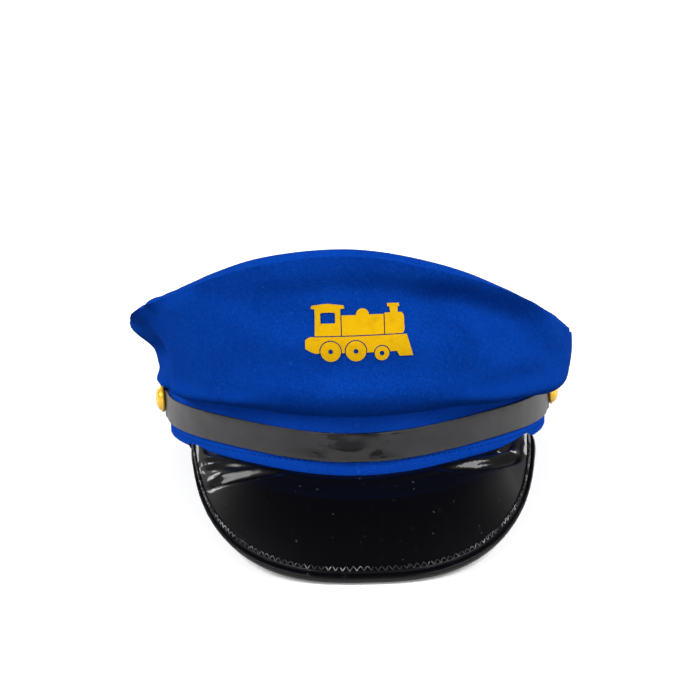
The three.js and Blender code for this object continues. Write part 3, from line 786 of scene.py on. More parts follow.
@dataclass
class Crown:
    """The soft crown: a side wall and a top panel, sewn together along the top seam.

    Its creases are drawn on the unrolled wall. All lengths are in millimetres.
    """

    stance: Stance
    sharpness: float = 0.85
    seam_pucker: float = 0.7
    seam_reach: float = 5.0
    seam_overlap: float = 0.45
    rim_step: float = 5.0
    band_pucker: float = 0.3
    band_level: float = 24.0
    fold_start: float = 21.5
    fold_run: float = 3.0
    slack: float = 0.35
    wave: float = 0.9
    wave_scale: float = 26.0
    lump_height: float = 80.0
    sag_top: float = 31.0
    sag_run: float = 7.0
    creases: tuple[Crease, ...] = (
        Crease(((-37, 66), (-17, 67.5), (-5, 69), (8, 68.5), (20, 66)), -1.3, 4.0),
        Crease(((10, 67), (24, 64.5), (37, 61.5), (49, 57.5), (60, 53), (72, 46)), -4.2, 5.0, 14.0),
        Crease(((18, 74), (38, 71), (52, 66), (66, 60), (80, 52)), 1.8, 4.6),
        Crease(((29, 60), (35, 55), (40, 49), (44, 43)), 2.6, 4.2, 8.0),
        Crease(((16, 60), (24, 53), (31, 45)), -1.3, 4.5),
        Crease(((50, 51), (55, 45), (60, 38)), -0.6, 5.0),
        Crease(((-57, 69), (-46, 65), (-31, 60)), -1.3, 4.5),
        Crease(((-76, 60), (-70, 58), (-64, 55.5)), 0.8, 2.2, 5.0),
        Crease(((-66, 31.5), (-46, 30), (-20, 29.5), (8, 29.5), (34, 29.5), (54, 31)), 1.2, 4.5),
        Crease(((-98, 25.5), (-66, 25.3), (-46, 25.3), (-25, 25.3)), 3.4, 2.8, 18.0),
        Crease(((25, 25.3), (46, 25.3), (68, 25.3), (98, 25.5)), 3.6, 2.8, 18.0),
        Crease(((-36, 62), (-22, 59), (-8, 57)), -1.8, 7.0),
        Crease(((-46, 42), (-18, 40), (6, 39), (25, 40.5)), -0.8, 5.0),
        Crease(((-108, 43.5), (-130, 42.5), (-152, 42)), 1.7, 4.2, 10.0),
        Crease(((-92, 40), (-106, 36), (-120, 34.5), (-136, 34), (-152, 34)), -1.7, 4.6, 10.0),
        Crease(((-104, 24.8), (-118, 24.4), (-132, 24.4)), 3.0, 2.6, 5.0),
        Crease(((-82, 40), (-86, 34), (-92, 28)), -0.8, 4.0),
        Crease(((117, 26), (129, 34), (141, 38)), -0.9, 5.0),
        Crease(((172, 26), (160, 33), (147, 38)), -0.9, 5.0),
        Crease(((215, 28), (230, 36), (243, 42)), 0.9, 5.0),
        Crease(((-172, 28), (-184, 36), (-200, 40)), 0.8, 5.0),
        Crease(((-224, 42), (-240, 34), (-252, 28)), -0.9, 5.0),
    )
    sag_azimuths: tuple[float, ...] = (-180, -115, -90, -60, -45, -25, 0, 22, 35, 60, 90, 115, 180)
    sags: tuple[float, ...] = (0, 0, 2.4, 3.0, 2.4, 0.8, -0.5, 0.8, 3.4, 3.6, 2.4, 0, 0)
    rim_creases: tuple[Crease, ...] = (
        Crease(((-120, 48.5), (-131, 47), (-142, 47), (-155, 47)), -0.9, 2.2, 4.0),
        Crease(((-92, 57), (-103, 54), (-114, 50.5)), 1.9, 4.5, 4.0),
        Crease(((-90, 59.5), (-82, 62)), 2.6, 3.6, 2.5),
        Crease(((-77, 64), (-66, 67), (-54, 70)), -1.9, 4.0, 5.0),
    )

    def wander(self, azimuth: np.ndarray, height: np.ndarray, scale: float, seed: float) -> np.ndarray:
        """Smooth random values round the crown, from about -1 to 1.

        Args:
            azimuth: azimuths in radians.
            height: heights in millimetres.
            scale: lumps for each radius round, and for each lump_height up.
            seed: picks the pattern.

        Returns:
            One value for each point.
        """
        return lumps(np.sin(azimuth) * scale, np.cos(azimuth) * scale, height * scale / self.lump_height + seed)

    def read_rim(self, side: Object) -> None:
        """Notes the height of the side wall's upper edge round the cap."""
        across, height = self.stance.unroll(Bench.corners(side))
        self.rim_azimuths = np.arange(-180, 180, self.rim_step)
        gaps = np.abs((np.degrees(across / WRAP_RADIUS)[:, None] - self.rim_azimuths + 180) % 360 - 180)
        self.rim_heights = np.array([height[gap < 0.52 * self.rim_step].max() for gap in gaps.T])

    def below_rim(self, azimuth: np.ndarray, height: np.ndarray) -> np.ndarray:
        """How far points lie below the side wall's upper edge."""
        return np.interp(np.degrees(azimuth), self.rim_azimuths, self.rim_heights, period=360) - height

    def seam_lift(self, azimuth: np.ndarray, height: np.ndarray, near: np.ndarray) -> np.ndarray:
        """Lift of the slack and of the top seam's puckers, which both cloths share.

        Args:
            azimuth: azimuths in radians.
            height: heights in millimetres.
            near: 1 at the seam, dying away from it.

        Returns:
            One lift for each point.
        """
        pucker = self.wander(azimuth, height * 0.15, 16.0, 3.1)
        return self.seam_pucker * pucker * near + self.slack * self.wander(azimuth, height, 4.5, 1.3)

    def fold_side(self, piece: Object) -> None:
        """Moves the wall out and in along its folds, puckers it along its seams and lets its foot sag."""
        points = Bench.corners(piece)
        across, height = self.stance.unroll(points)
        azimuth = across / WRAP_RADIUS
        near = bell(np.clip(self.below_rim(azimuth, height), 0, None), self.seam_reach)
        lift = self.seam_lift(azimuth, height, near)
        lift += sum(crease.lift(across, height) for crease in self.creases + self.rim_creases)
        low = self.wander(azimuth, height * 0.2, 13.0, 7.7)
        lift += self.band_pucker * low * bell(height - self.band_level, self.seam_reach)
        moved = self.stance.push(points, lift * np.clip((height - self.fold_start) / self.fold_run, 0, 1))
        sag = np.interp(np.degrees(azimuth), self.sag_azimuths, self.sags)
        moved[:, 2] -= sag * ease((self.sag_top - height) / self.sag_run) * MM
        Bench.set_corners(piece, moved)

    def fold_top(self, piece: Object) -> None:
        """Lets the top panel follow the side wall's folds at the seam and sag in slow waves."""
        points = Bench.corners(piece)
        across, height = self.stance.unroll(points)
        azimuth = across / WRAP_RADIUS
        near = bell(self.below_rim(azimuth, height), self.seam_reach)
        lift = self.seam_lift(azimuth, height, near)
        lift += sum(crease.lift(across, height) for crease in self.rim_creases)
        lift += sum(crease.lift(across, height) for crease in self.creases) * near
        moved = self.stance.push(points, lift)
        waves = lumps(*(points * self.wave_scale).T)
        moved[:, 2] += (waves * self.wave * (1 - near) - self.seam_overlap * near) * MM
        Bench.set_corners(piece, moved)

    def lay_top(self, points: np.ndarray) -> np.ndarray:
        """Places of the top panel on its flat cloth."""
        local = self.stance.to_band(points)
        return np.stack([local[:, 0], -local[:, 1]], 1)

    def build(self, nodes: dict) -> None:
        """Builds and dresses the side wall and the top panel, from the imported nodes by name."""
        cloth = TwillFinish().material()
        self.side = Bench.rounded(nodes["crown_side"], "crown_side_cloth", self.sharpness, 2)
        self.read_rim(self.side)
        self.fold_side(self.side)
        Bench.smooth(self.side)
        Bench.map_cloth(self.side, self.stance.lay, CLOTH_TURN)
        Bench.dress(self.side, cloth, "cloth", "crown_side")

        top = Bench.rounded(nodes["crown_top"], "crown_top_cloth", self.sharpness, 2)
        self.fold_top(top)
        Bench.smooth(top)
        Bench.map_cloth(top, self.lay_top)
        Bench.dress(top, cloth, "cloth", "crown_top")


@dataclass
class Band:
    """The cloth head band, with the join of its ends at the front. Lengths are in millimetres."""

    stance: Stance
    sharpness: float = 0.8
    seam_width: float = 0.7
    seam_depth: float = 0.25
    ripple: float = 0.22
    ripple_scale: float = 60.0
    # Painted light: the band's twill is a lighter copy of the crown's, making up for the shade it lies in under
    # the crown's overhang.
    colour: Triple = (0.003, 0.050, 0.40)
    deep: Triple = (0.002, 0.042, 0.345)

    def build(self, nodes: dict) -> None:
        """Builds and dresses the band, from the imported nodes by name."""
        piece = Bench.rounded(nodes["band"], "head_band_cloth", self.sharpness, 3)
        points = Bench.corners(piece)
        across, _ = self.stance.unroll(points)
        groove = -self.seam_depth * bell(across, self.seam_width)
        ripple = self.ripple * lumps(*(points * self.ripple_scale).T)
        Bench.set_corners(piece, self.stance.push(points, groove + ripple))
        Bench.smooth(piece)
        Bench.map_cloth(piece, self.stance.lay, CLOTH_TURN)
        cloth = TwillFinish(name="band_twill", colour=self.colour, deep=self.deep, seam_at_front=True)
        Bench.dress(piece, cloth.material(), "cloth", "band")


@dataclass
class Strap:
    """The satin strap round the front of the band, and the button at each of its ends."""

    stance: Stance
    sharpness: float = 0.9
    clearance: float = 0.12
    wave: float = 0.1
    front_wave: float = 0.35
    front_reach: float = 15.0
    button_width: float = 11.6
    button_sink: float = 0.3
    button_rise: float = 0.8
    button_turn: float = math.radians(10)
    button_sides: int = 104
    button_seat: float = 0.62
    button_steps: tuple[tuple[float, float], ...] = (
        (1.0, 0.13), (1.50, 0.07), (1.06, 0.10), (1.0, 0.10), (0.97, 0.06), (0.955, -0.03),
        (0.965, 0.07), (0.90, 0.16), (0.82, 0.13), (0.70, 0.08), (0.50, 0.05), (0.30, 0.02),
    )
    rope_lobes: int = 26
    rope_twist: float = 5.0
    rope_depth: float = 0.045
    rope_from: float = 0.90
    rope_run: float = 0.08
    rope_fade: float = 1.12
    rope_top: float = 0.66
    # Size of the black disc behind each button, painted shade in the gap between button and strap.
    shade_disc_width: float = 11.0
    shade_disc_wall: float = 1.6
    shade_disc_sides: int = 48

    def build(self, nodes: dict) -> None:
        """Builds and dresses the strap and the buttons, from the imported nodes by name."""
        piece = Bench.rounded(nodes["strap"], "satin_strap", self.sharpness, 3)
        points = Bench.corners(piece)
        across, height = self.stance.unroll(points)
        wave = lumps(across * 0.14, height * 0.20, 2.2)
        lift = self.clearance + (self.front_wave * bell(across, self.front_reach) + self.wave) * wave
        Bench.set_corners(piece, self.stance.push(points, lift))
        Bench.smooth(piece)
        Bench.map_cloth(piece, self.stance.lay)
        Bench.dress(piece, SatinFinish().material(), "strap", "strap")
        gold = GoldFinish().material()
        # Dark finish of the disc that stands in for the shade behind each button.
        black = PatentFinish(name="backing_black", roughness=0.3, haze=0.5, gloss=0.1).material()
        for side in Side:
            self.build_button(side, nodes[f"button_{side.name.lower()}"], gold, black)

    def build_button(self, side: Side, node: Object, gold: Material, black: Material) -> None:
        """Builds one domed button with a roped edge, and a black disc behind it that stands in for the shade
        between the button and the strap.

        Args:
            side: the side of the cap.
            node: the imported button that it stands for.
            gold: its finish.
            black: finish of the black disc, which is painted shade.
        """
        low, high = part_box(node.name)
        centre = (low + high) / 2
        thick = high.x - low.x
        outward = Vector((side.value * math.cos(self.button_turn), -math.sin(self.button_turn), 0))
        turned = np.array(Vector((0, 0, 1)).rotation_difference(outward).to_matrix()).T
        inner = (low.x if side is Side.RIGHT else high.x) - side.value * self.button_sink * MM
        seat = np.array((inner, centre.y, centre.z + self.button_rise * MM))

        piece = self.turn_button(thick)
        piece.name = f"{side.name.lower()}_gold_button"
        Bench.set_corners(piece, self.roped(Bench.corners(piece), thick) @ turned + seat)
        Bench.smooth(piece, 50)
        Bench.dress(piece, gold, "gold", node.name)

        # Painted shade: a black disc behind the button stands in for the dark shade between the button and the
        # strap.
        radius, depth = self.shade_disc_width / 2 * MM, self.shade_disc_wall * MM
        bpy.ops.mesh.primitive_cylinder_add(vertices=self.shade_disc_sides, radius=radius, depth=depth)
        shade_disc = bpy.context.active_object
        shade_disc.name = f"{side.name.lower()}_button_backing"
        Bench.set_corners(shade_disc, Bench.corners(shade_disc) @ turned + seat)
        Bench.smooth(shade_disc)
        Bench.dress(shade_disc, black, "strap")

    def turn_button(self, thick: float) -> Object:
        """A plain turned button that stands on the floor, by its whole height in metres."""
        radius = self.button_width / 2 * MM * self.button_seat
        bpy.ops.object.select_all(action="DESELECT")
        bpy.ops.mesh.primitive_circle_add(
            vertices=self.button_sides, radius=radius, fill_type="NGON", location=(0, 0, 0)
        )
        piece = bpy.context.active_object
        bpy.ops.object.mode_set(mode="EDIT")
        bpy.ops.mesh.select_all(action="SELECT")
        for widen, rise in self.button_steps:
            bpy.ops.mesh.extrude_region_move(TRANSFORM_OT_translate={"value": (0, 0, rise * thick)})
            if widen != 1.0:
                bpy.ops.transform.resize(value=(widen, widen, 1.0))
        bpy.ops.object.mode_set(mode="OBJECT")
        Bench.face_out(piece)
        return piece

    def roped(self, points: np.ndarray, thick: float) -> np.ndarray:
        """Points of a button with its edge roped and its size made exact.

        Args:
            points: the plain turned button's.
            thick: its whole height.

        Returns:
            The new points.
        """
        radius = self.button_width / 2 * MM
        reach = np.hypot(points[:, 0], points[:, 1])
        turn = np.arctan2(points[:, 1], points[:, 0])
        edge = np.clip((reach / radius - self.rope_from) / self.rope_run, 0, 1)
        edge *= np.clip(self.rope_fade - points[:, 2] / (self.rope_top * thick), 0, 1)
        rope = np.cos(self.rope_lobes * turn + points[:, 2] / thick * self.rope_twist)
        points[:, :2] *= (1 + self.rope_depth * edge * rope)[:, None]
        return points * np.array([radius / reach.max()] * 2 + [thick / points[:, 2].max()])


@dataclass(frozen=True)
class HeadOval:
    """Plan of the head band's inside, in the band's frame and in millimetres."""

    half_width: float = 76.8
    half_length: float = 91.0
    squareness: float = 1.88
    point: float = 7.3
    point_spread: float = math.radians(25)
    dip: float = 2.8
    band_wall: float = 2.4

    def front(self, azimuth: np.ndarray) -> np.ndarray:
        """Share of the pointed front at azimuths in radians."""
        return bell(azimuth, self.point_spread)

    def place(self, azimuth: np.ndarray, offset: float, height: np.ndarray) -> np.ndarray:
        """Points beside the band.

        Args:
            azimuth: azimuths in radians, 0 at the front and positive to the right.
            offset: distance outwards from the band's inside.
            height: heights over the band's lower edge.

        Returns:
            One point for each azimuth.
        """
        across = np.abs(np.sin(azimuth) / (self.half_width + offset)) ** self.squareness
        along = np.abs(np.cos(azimuth) / (self.half_length + offset)) ** self.squareness
        radius = (across + along) ** (-1 / self.squareness) + self.point * self.front(azimuth)
        level = height - self.dip * self.front(azimuth)
        return np.stack([radius * np.sin(azimuth), -radius * np.cos(azimuth), level], -1)


@dataclass(frozen=True)
class PeakForm:
    """Form of the peak's sheet in the band's frame, in millimetres.

    A place on it has a share, from -1 at the left corner to 1 at the right one, and a fall, from 0 at the
    band to 1 at the free edge.
    """

    oval: HeadOval = field(default_factory=HeadOval)
    angle: float = math.radians(57)
    half_width: float = 71.4
    shift: float = 2.2
    widest_ahead: float = 2.0
    corner_ahead: float = 45.0
    corner_drop: float = 2.8
    tip_ahead: float = 132.4
    slope: float = math.radians(20.7)
    squareness: float = 2.68
    arch: float = 3.0
    edge_inset: float = 1.0
    tuck: float = 1.2
    seat_height: float = 0.5
    corner_from: float = 0.72
    corner_lift: float = 2.3
    crease_run: float = 0.09
    crease_free: float = 0.35
    creases: tuple[Crease, ...] = (
        Crease(
            ((-57.9, -75.2), (-52.4, -79.3), (-47.5, -82.1), (-41.4, -85.0), (-34.3, -87.6), (-24.7, -90.6)),
            1.60,
            1.15,
            5.0,
        ),
        Crease(
            ((-59.1, -76.8), (-53.6, -81.1), (-48.5, -83.9), (-42.2, -87.0), (-34.9, -89.6), (-25.3, -92.6)),
            -1.36,
            1.20,
            5.0,
        ),
        Crease(((-60.0, -65.6), (-56.1, -69.7), (-51.6, -73.5), (-46.1, -77.8), (-38.6, -82.7)), 0.88, 0.70, 5.0),
        Crease(((-61.0, -66.4), (-56.9, -70.7), (-52.4, -74.5), (-46.9, -78.8), (-39.4, -83.7)), -0.80, 0.75, 5.0),
        Crease(((-60.6, -61.2), (-56.6, -65.5), (-52.7, -69.4), (-47.2, -74.4), (-41.7, -78.8)), 0.64, 0.55, 5.0),
        Crease(((-61.4, -61.8), (-57.4, -66.1), (-53.3, -70.2), (-47.8, -75.2), (-42.3, -79.6)), -0.58, 0.55, 5.0),
        Crease(((-60.0, -56.6), (-57.0, -60.4), (-54.6, -63.1)), 0.80, 0.70, 2.0),
        Crease(((-61.0, -57.4), (-58.0, -61.2), (-55.4, -63.9)), -0.72, 0.70, 2.0),
        Crease(
            ((26.7, -89.2), (35.6, -86.4), (44.4, -81.5), (52.1, -74.9), (58.2, -67.6), (62.7, -61.4)),
            1.60,
            1.15,
            5.0,
        ),
        Crease(
            ((27.3, -91.2), (36.4, -88.4), (45.6, -83.3), (53.5, -76.3), (59.8, -68.8), (64.3, -62.6)),
            -1.36,
            1.20,
            5.0,
        ),
        Crease(((53.4, -67.0), (56.9, -62.6), (60.4, -57.1)), 0.88, 0.80, 3.0),
        Crease(((54.6, -68.0), (58.1, -63.4), (61.6, -57.9)), -0.80, 0.80, 3.0),
        Crease(((-66.5, -50), (-64.5, -57), (-63.5, -63)), 0.35, 1.0, 3.0),
        Crease(((67.5, -50), (66, -56), (65, -62)), 0.35, 1.0, 3.0),
    )

    def edge(self, share: np.ndarray, inset: float) -> np.ndarray:
        """Points of the free edge.

        Args:
            share: shares across the peak.
            inset: how far in from the edge.

        Returns:
            One point for each share.
        """
        reach = self.tip_ahead - self.widest_ahead
        corner = (self.corner_ahead - self.widest_ahead) / reach
        turn = share * math.acos(corner ** (self.squareness / 2))
        power = 2 / self.squareness
        side = np.sign(turn) * np.abs(np.sin(turn)) ** power
        ahead = self.widest_ahead + (reach - inset) * np.cos(turn) ** power
        drop = self.corner_drop + (ahead - self.corner_ahead) * math.tan(self.slope)
        return np.stack([self.shift + (self.half_width - inset) * side, -ahead, -drop], -1)

    def sheet(self, share: np.ndarray, fall: np.ndarray) -> np.ndarray:
        """Points of the sheet's smooth upper surface."""
        seat = np.full_like(share, self.seat_height)
        start = self.oval.place(share * self.angle, self.oval.band_wall - self.tuck, seat)
        end = self.edge(share, self.edge_inset)
        rise = self.arch * 4 * fall * (1 - fall) * np.cos(share * math.pi / 2)
        points = start + (end - start) * fall[..., None]
        points[..., 1] -= rise / 2
        corner = ease((np.abs(share) - self.corner_from) / (1 - self.corner_from))
        points[..., 2] += rise + self.corner_lift * corner
        return points

    def wrinkled(self, share: np.ndarray, fall: np.ndarray) -> np.ndarray:
        """Points of the sheet's upper surface with its wrinkles."""
        points = self.sheet(share, fall)
        flat = points.reshape(-1, 3)
        lift = sum(crease.lift(flat[:, 0], flat[:, 1]) for crease in self.creases)
        flat[:, 2] += lift * ease(fall.reshape(-1) / self.crease_run - self.crease_free)
        return flat.reshape(points.shape)

    def upward(self, share: np.ndarray, fall: np.ndarray) -> np.ndarray:
        """Upward directions of the smooth surface."""
        step = 0.004
        right = self.sheet(np.clip(share + step, -1, 1), fall) - self.sheet(np.clip(share - step, -1, 1), fall)
        down = self.sheet(share, np.clip(fall + step, 0, 1)) - self.sheet(share, np.clip(fall - step, 0, 1))
        normal = np.cross(down, right)
        normal /= np.linalg.norm(normal, axis=-1)[..., None]
        return normal * np.sign(normal[..., 2:3])


@dataclass
class Peak:
    """The patent peak, its folded edge binding and the zigzag stitch that holds it."""

    stance: Stance
    form: PeakForm = field(default_factory=PeakForm)
    columns: int = 260
    rows: int = 56
    crowding: float = 1.25
    wall: float = 1.1
    binding_columns: int = 300
    section: tuple[tuple[float, float], ...] = (
        (6.1, 0.0), (6.08, 0.32), (5.9, 0.5), (5.4, 0.42), (4.9, 0.36), (4.4, 0.5),
        (4.0, 0.52), (3.6, 0.3), (3.2, 0.12), (2.9, 0.35), (2.5, 0.75), (1.9, 1.0),
        (1.3, 1.02), (0.8, 0.85), (0.42, 0.5), (0.15, -0.05), (0.02, -0.7), (0.1, -1.4),
        (0.4, -1.95), (0.9, -2.3), (1.6, -2.45), (2.6, -2.3), (4.0, -1.9), (6.0, -1.6),
        (6.1, -1.2),
    )
    groove_rows: tuple[int, ...] = (7, 8, 9)
    groove_more: float = 0.308
    groove_side: float = 0.62
    groove_reach: float = 0.22
    binding_wave: float = 0.10
    binding_probe: float = 0.82
    end_tuck: float = 1.4
    end_from: float = 0.95
    thin_from: float = 0.94
    stitch_inset: float = 5.05
    stitch_swing: float = 1.0
    stitch_pitch: float = 2.6
    stitch_limit: float = 5.0
    thread: float = 0.17
    thread_sides: int = 6
    thread_spans: int = 4

    def build(self, nodes: dict) -> None:
        """Builds and dresses the sheet, the binding and the stitches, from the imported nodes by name."""
        sheet = self.build_sheet()
        Bench.dress(sheet, PatentFinish().material(), "patent", "peak")
        binding = self.build_binding()
        trim = PatentFinish(name="binding_patent", roughness=0.14, haze=0.4, gloss=0.16).material()
        Bench.dress(binding, trim, "binding", "peak_binding")
        self.build_stitches(sheet, binding)

    def build_sheet(self) -> Object:
        """The sheet, from its form, with its thickness."""
        falls = np.linspace(0, 1, self.rows + 1) ** self.crowding
        share, fall = np.meshgrid(np.linspace(-1, 1, self.columns + 1), falls)
        upper = self.form.wrinkled(share.T, fall.T)
        under = upper - self.form.upward(share.T, fall.T) * self.wall
        stations, count = upper.shape[:2]
        points = np.concatenate([upper.reshape(-1, 3), under.reshape(-1, 3)])
        far = stations * count
        faces = []
        for i in range(stations - 1):
            for j in range(count - 1):
                a, b = i * count + j, (i + 1) * count + j
                faces.append((a, a + 1, b + 1, b))
                faces.append((far + a, far + b, far + b + 1, far + a + 1))
            for j in (0, count - 1):
                a, b = i * count + j, (i + 1) * count + j
                faces.append((a, b, far + b, far + a) if j == 0 else (a, far + a, far + b, b))
        for i in (0, stations - 1):
            for j in range(count - 1):
                a = i * count + j
                faces.append((a, far + a, far + a + 1, a + 1) if i == 0 else (a, a + 1, far + a + 1, far + a))
        piece = Bench.from_points("patent_peak", self.stance.to_floor(points * MM), faces)
        Bench.face_out(piece)
        Bench.smooth(piece, 60)
        return piece

    def build_binding(self) -> Object:
        """The folded strip, its section carried along the free edge."""
        share = np.linspace(-1, 1, self.binding_columns + 1)
        step = 0.003
        ahead = self.form.edge(np.clip(share + step, -1, 1), 0.0)
        along = ahead - self.form.edge(np.clip(share - step, -1, 1), 0.0)
        along /= np.linalg.norm(along, axis=1)[:, None]
        rim = self.form.sheet(share, np.ones_like(share))
        inner = self.form.sheet(share, np.full_like(share, self.binding_probe))
        seat = self.form.sheet(share, np.zeros_like(share))
        inward = inner - rim
        inward /= np.linalg.norm(inward, axis=1)[:, None]
        normal = np.cross(along, inward)
        normal /= np.linalg.norm(normal, axis=1)[:, None]
        normal *= np.sign(normal[:, 2:3])
        room = np.linalg.norm(seat - rim, axis=1)
        side = np.abs(share)
        start = rim - inward * self.form.edge_inset
        end = np.clip((side - self.end_from) / (1 - self.end_from), 0, 1)
        start += inward * (self.end_tuck * end**2)[:, None]
        thin = 1 - 0.5 * np.clip((side - self.thin_from) / (1 - self.thin_from), 0, 1) ** 2
        narrow = np.minimum(1.0, (room + 1.5) / self.section[0][0]) * thin
        groove = self.groove_more * bell(side - self.groove_side, self.groove_reach)
        rows = []
        for k, (across, up) in enumerate(self.section):
            wave = self.binding_wave * lumps(share * 34.0, k * 0.22, 4.4)
            swell = (up - groove * (k in self.groove_rows) + wave) * thin
            rows.append(start + inward * (across * narrow)[:, None] + normal * swell[:, None])
        ring = np.stack(rows, 1)
        stations, count = ring.shape[:2]
        faces = [
            (i * count + k, (i + 1) * count + k, (i + 1) * count + (k + 1) % count, i * count + (k + 1) % count)
            for i in range(stations - 1)
            for k in range(count)
        ]
        faces.append(tuple(range(count)))
        faces.append(tuple((stations - 1) * count + k for k in reversed(range(count))))
        piece = Bench.from_points("peak_edge_binding", self.stance.to_floor(ring.reshape(-1, 3) * MM), faces)
        Bench.face_out(piece)
        Bench.smooth(piece, 60)
        self.start, self.inward, self.normal = start, inward, normal
        return piece

    def build_stitches(self, sheet: Object, binding: Object) -> None:
        """Lays a zigzag of thread over the binding's inner edge.

        Args:
            sheet: the patent sheet.
            binding: the folded strip.
        """
        tree = Bench.tree(sheet, binding)
        line = self.start + self.inward * self.stitch_inset
        lengths = np.concatenate([[0.0], np.cumsum(np.linalg.norm(np.diff(line, axis=0), axis=1))])
        count = int(lengths[-1] / self.stitch_pitch * 2)
        knots: list[tuple[Vector, Vector]] = []
        for i in range(4, count - 3):
            far = i * lengths[-1] / count
            at = np.array([np.interp(far, lengths, line[:, k]) for k in range(3)])
            inward = np.array([np.interp(far, lengths, self.inward[:, k]) for k in range(3)])
            normal = np.array([np.interp(far, lengths, self.normal[:, k]) for k in range(3)])
            jitter = noise.noise(Vector((i * 0.73, 0.2, 5.1)))
            swing = (self.stitch_swing if i % 2 else -self.stitch_swing) * (1 + 0.4 * jitter)
            spot = at + inward * swing + normal * 5.0
            start, end = self.stance.to_floor(np.array([spot, spot - normal]) * MM)
            hit, turn, _, _ = tree.ray_cast(Vector(start), Vector(end - start).normalized())
            if hit is not None:
                knots.append((hit, turn))
        self.lay_thread(knots)

    def lay_thread(self, knots: list[tuple[Vector, Vector]]) -> None:
        """Makes one arched length of thread between each two knots.

        Args:
            knots: place and outward direction of each needle hole.
        """
        sides, spans = self.thread_sides, self.thread_spans
        points: list[Vector] = []
        faces: list[tuple[int, ...]] = []
        radius = self.thread * MM
        for (start, up_start), (end, up_end) in zip(knots, knots[1:]):
            if (end - start).length > self.stitch_limit * MM:
                continue
            along = (end - start).normalized()
            first = len(points)
            for k in range(spans + 1):
                share = k / spans
                up = up_start.lerp(up_end, share).normalized()
                arch = math.sin(math.pi * share)
                centre = start.lerp(end, share) + up * (radius * (1.6 * arch - 0.6))
                across = along.cross(up).normalized()
                thick = radius * (0.7 + 0.3 * arch)
                for s in range(sides):
                    turn = 2 * math.pi * s / sides
                    points.append(centre + across * (thick * math.cos(turn)) + up * (thick * math.sin(turn)))
            for k in range(spans):
                for s in range(sides):
                    a = first + k * sides + s
                    b = first + k * sides + (s + 1) % sides
                    faces.append((a, b, b + sides, a + sides))
            faces.append(tuple(first + s for s in reversed(range(sides))))
            faces.append(tuple(first + spans * sides + s for s in range(sides)))
        piece = Bench.from_points("binding_stitches", np.array(points), faces)
        Bench.face_out(piece)
        Bench.smooth(piece, 60)
        Bench.dress(piece, ThreadFinish().material(), "binding")


@dataclass
class Print:
    """The yellow engine, pressed onto the front of the crown."""

    crown: Crown
    lift: float = 0.10
    film: float = 0.28
    seat_gap: float = 0.55
    film_gap: float = 0.2
    pieces: tuple[str, ...] = (
        "print_cab",
        "print_boiler",
        "print_smokebox",
        "print_frame",
        "print_wheel_rear",
        "print_wheel_middle",
        "print_wheel_front",
    )

    def build(self, nodes: dict) -> None:
        """Builds and dresses every piece of the print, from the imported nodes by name."""
        tree = Bench.tree(self.crown.side)
        self.bare = Bench.tree(nodes["crown_side"])
        film = PrintFinish().material()
        for name in self.pieces:
            piece = Bench.rounded(nodes[name], name.replace("print_", "engine_"), 1.0, 3)
            self.press(piece, tree)
            Bench.smooth(piece, 30)
            Bench.map_cloth(piece, self.crown.stance.lay)
            Bench.dress(piece, film, "print", name)

    def press(self, piece: Object, tree: BVHTree) -> None:
        """Presses a piece onto the cloth.

        Args:
            piece: the piece.
            tree: the crown's side wall.
        """
        points = Bench.corners(piece)
        for i, point in enumerate(points):
            gap = self.bare.find_nearest(Vector(point))[3] / MM
            hit, turn, _, _ = tree.find_nearest(Vector(point))
            share = min(max((gap - self.seat_gap) / self.film_gap, 0.0), 1.0)
            points[i] = hit + turn * ((self.lift + self.film * share) * MM)
        Bench.set_corners(piece, points)


@dataclass(frozen=True)
class Softbox:
    """A rectangular soft light, with its place and size in metres and its power in watts.

    A paired one stands on the left too. gloss and spread say whether it shows in mirrors and lights dull cloth.
    """

    name: str
    place: Triple
    wide: float
    tall: float
    power: float
    paired: bool = True
    gloss: bool = True
    spread: bool = True

    def build(self, name: str, across: float, aim: Vector) -> None:
        """Adds the light.

        Args:
            name: the light's name.
            across: -1 mirrors it to the other side and 1 doesn't.
            aim: the point that it faces.
        """
        data = bpy.data.lights.new(name, "AREA")
        data.shape = "RECTANGLE"
        data.size = self.wide
        data.size_y = self.tall
        data.energy = self.power
        light = bpy.data.objects.new(name, data)
        light.location = (self.place[0] * across, self.place[1], self.place[2])
        light.rotation_mode = "QUATERNION"
        light.rotation_quaternion = (aim - Vector(light.location)).to_track_quat("-Z", "Y")
        light.visible_glossy = self.gloss
        light.visible_diffuse = self.spread
        bpy.context.scene.collection.objects.link(light)


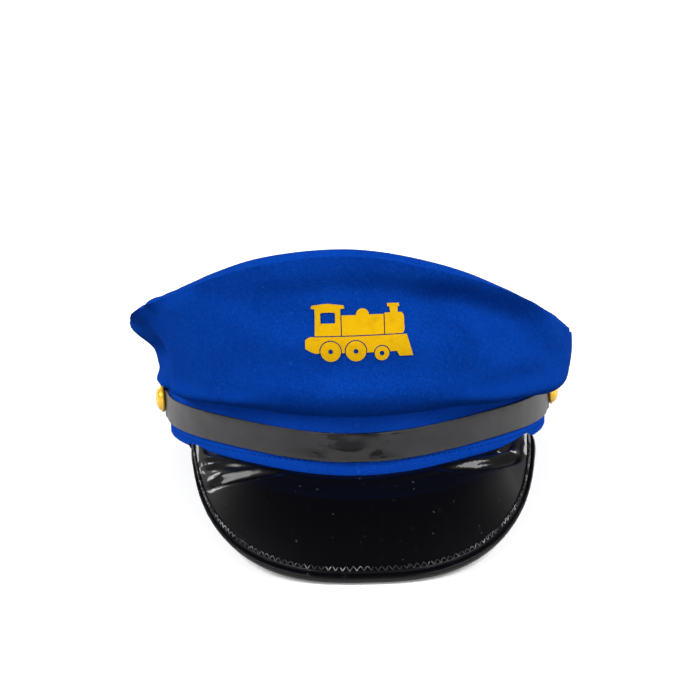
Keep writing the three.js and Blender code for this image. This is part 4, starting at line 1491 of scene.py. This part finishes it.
@dataclass
class Studio:
    """The pale floor, the soft lights and the camera."""

    floor_size: float = 16.0
    surround: float = 0.28
    middle: Triple = (0.0, -0.02, 0.04)
    lights: tuple[Softbox, ...] = (
        Softbox("softbox", (1.15, 1.6, 0.55), 1.1, 0.42, 9.0),
        Softbox("strip_front", (0.0, -2.2, 0.40), 3.6, 0.7, 3.4, paired=False),
        Softbox("fill_front", (0.0, -2.3, 0.42), 2.6, 0.7, 10.5, paired=False, gloss=False),
        Softbox("key", (1.46, -0.49, 1.33), 1.0, 0.9, 41.0, gloss=False),
        Softbox("low", (1.55, -1.3, 0.22), 1.1, 0.4, 6.0, gloss=False),
        Softbox("gleam", (1.15, -0.68, 0.745), 1.9, 0.3, 15.0, spread=False),
    )
    camera_place: Triple = (2.04 * MM, -831.83 * MM, 312.37 * MM)
    fall: float = math.radians(19.395)
    roll: float = math.radians(-1.254)
    focal: float = 2100.0
    frame: float = 693.0
    off_centre: tuple[float, float] = (10.977, 75.752)
    sensor: float = 36.0

    def build(self) -> None:
        """Builds the floor, the lights and the camera."""
        self.build_floor()
        self.build_lights()
        self.build_camera()

    def build_floor(self) -> None:
        """A plain sheet of pale paper."""
        bpy.ops.object.select_all(action="DESELECT")
        bpy.ops.mesh.primitive_plane_add(size=1.0, location=(0, 0, 0))
        floor = bpy.context.active_object
        floor.name = "pale_floor"
        Bench.set_corners(floor, Bench.corners(floor) * self.floor_size)
        floor.data.materials.append(FloorFinish().material())
        floor.visible_diffuse = False

    def build_lights(self) -> None:
        """An even pale surround and the softboxes."""
        world = bpy.data.worlds.new("surround")
        bpy.context.scene.world = world
        world.use_nodes = True
        background = world.node_tree.nodes["Background"]
        background.inputs["Color"].default_value = (1.0, 1.0, 1.0, 1.0)
        background.inputs["Strength"].default_value = self.surround
        world.cycles_visibility.glossy = False
        for box in self.lights:
            for name, across in (("_left", -1), ("_right", 1)) if box.paired else (("", 1),):
                box.build(box.name + name, across, Vector(self.middle))

    def build_camera(self) -> None:
        """The camera, at the photograph's place and angle."""
        data = bpy.data.cameras.new("camera")
        data.sensor_width = self.sensor
        data.lens = self.sensor * self.focal / self.frame
        data.clip_start = 0.02
        data.clip_end = 20.0
        forward = Vector((0.0, math.cos(self.fall), -math.sin(self.fall)))
        right = Vector((1.0, 0.0, 0.0))
        up = right.cross(forward)
        cos, sin = math.cos(self.roll), math.sin(self.roll)
        right, up = right * cos + up * sin, up * cos - right * sin
        across, above = (share / self.focal for share in self.off_centre)
        aim = (forward - right * across + up * above).normalized()
        right = (right - aim * right.dot(aim)).normalized()
        up = right.cross(aim)
        camera = bpy.data.objects.new("camera", data)
        turned = Matrix((right, up, -aim)).transposed().to_4x4()
        camera.matrix_world = Matrix.Translation(self.camera_place) @ turned
        bpy.context.scene.collection.objects.link(camera)
        bpy.context.scene.camera = camera


def main() -> None:
    """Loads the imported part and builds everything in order."""
    logging.basicConfig(level=logging.INFO, format="%(message)s")
    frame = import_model()
    nodes = frame["nodes"]
    bpy.context.scene.view_settings.view_transform = "Standard"
    stance = Stance()
    crown = Crown(stance)
    crown.build(nodes)
    Band(stance).build(nodes)
    Strap(stance).build(nodes)
    Peak(stance).build(nodes)
    Print(crown).build(nodes)
    Studio().build()


if __name__ == "__main__":
    main()
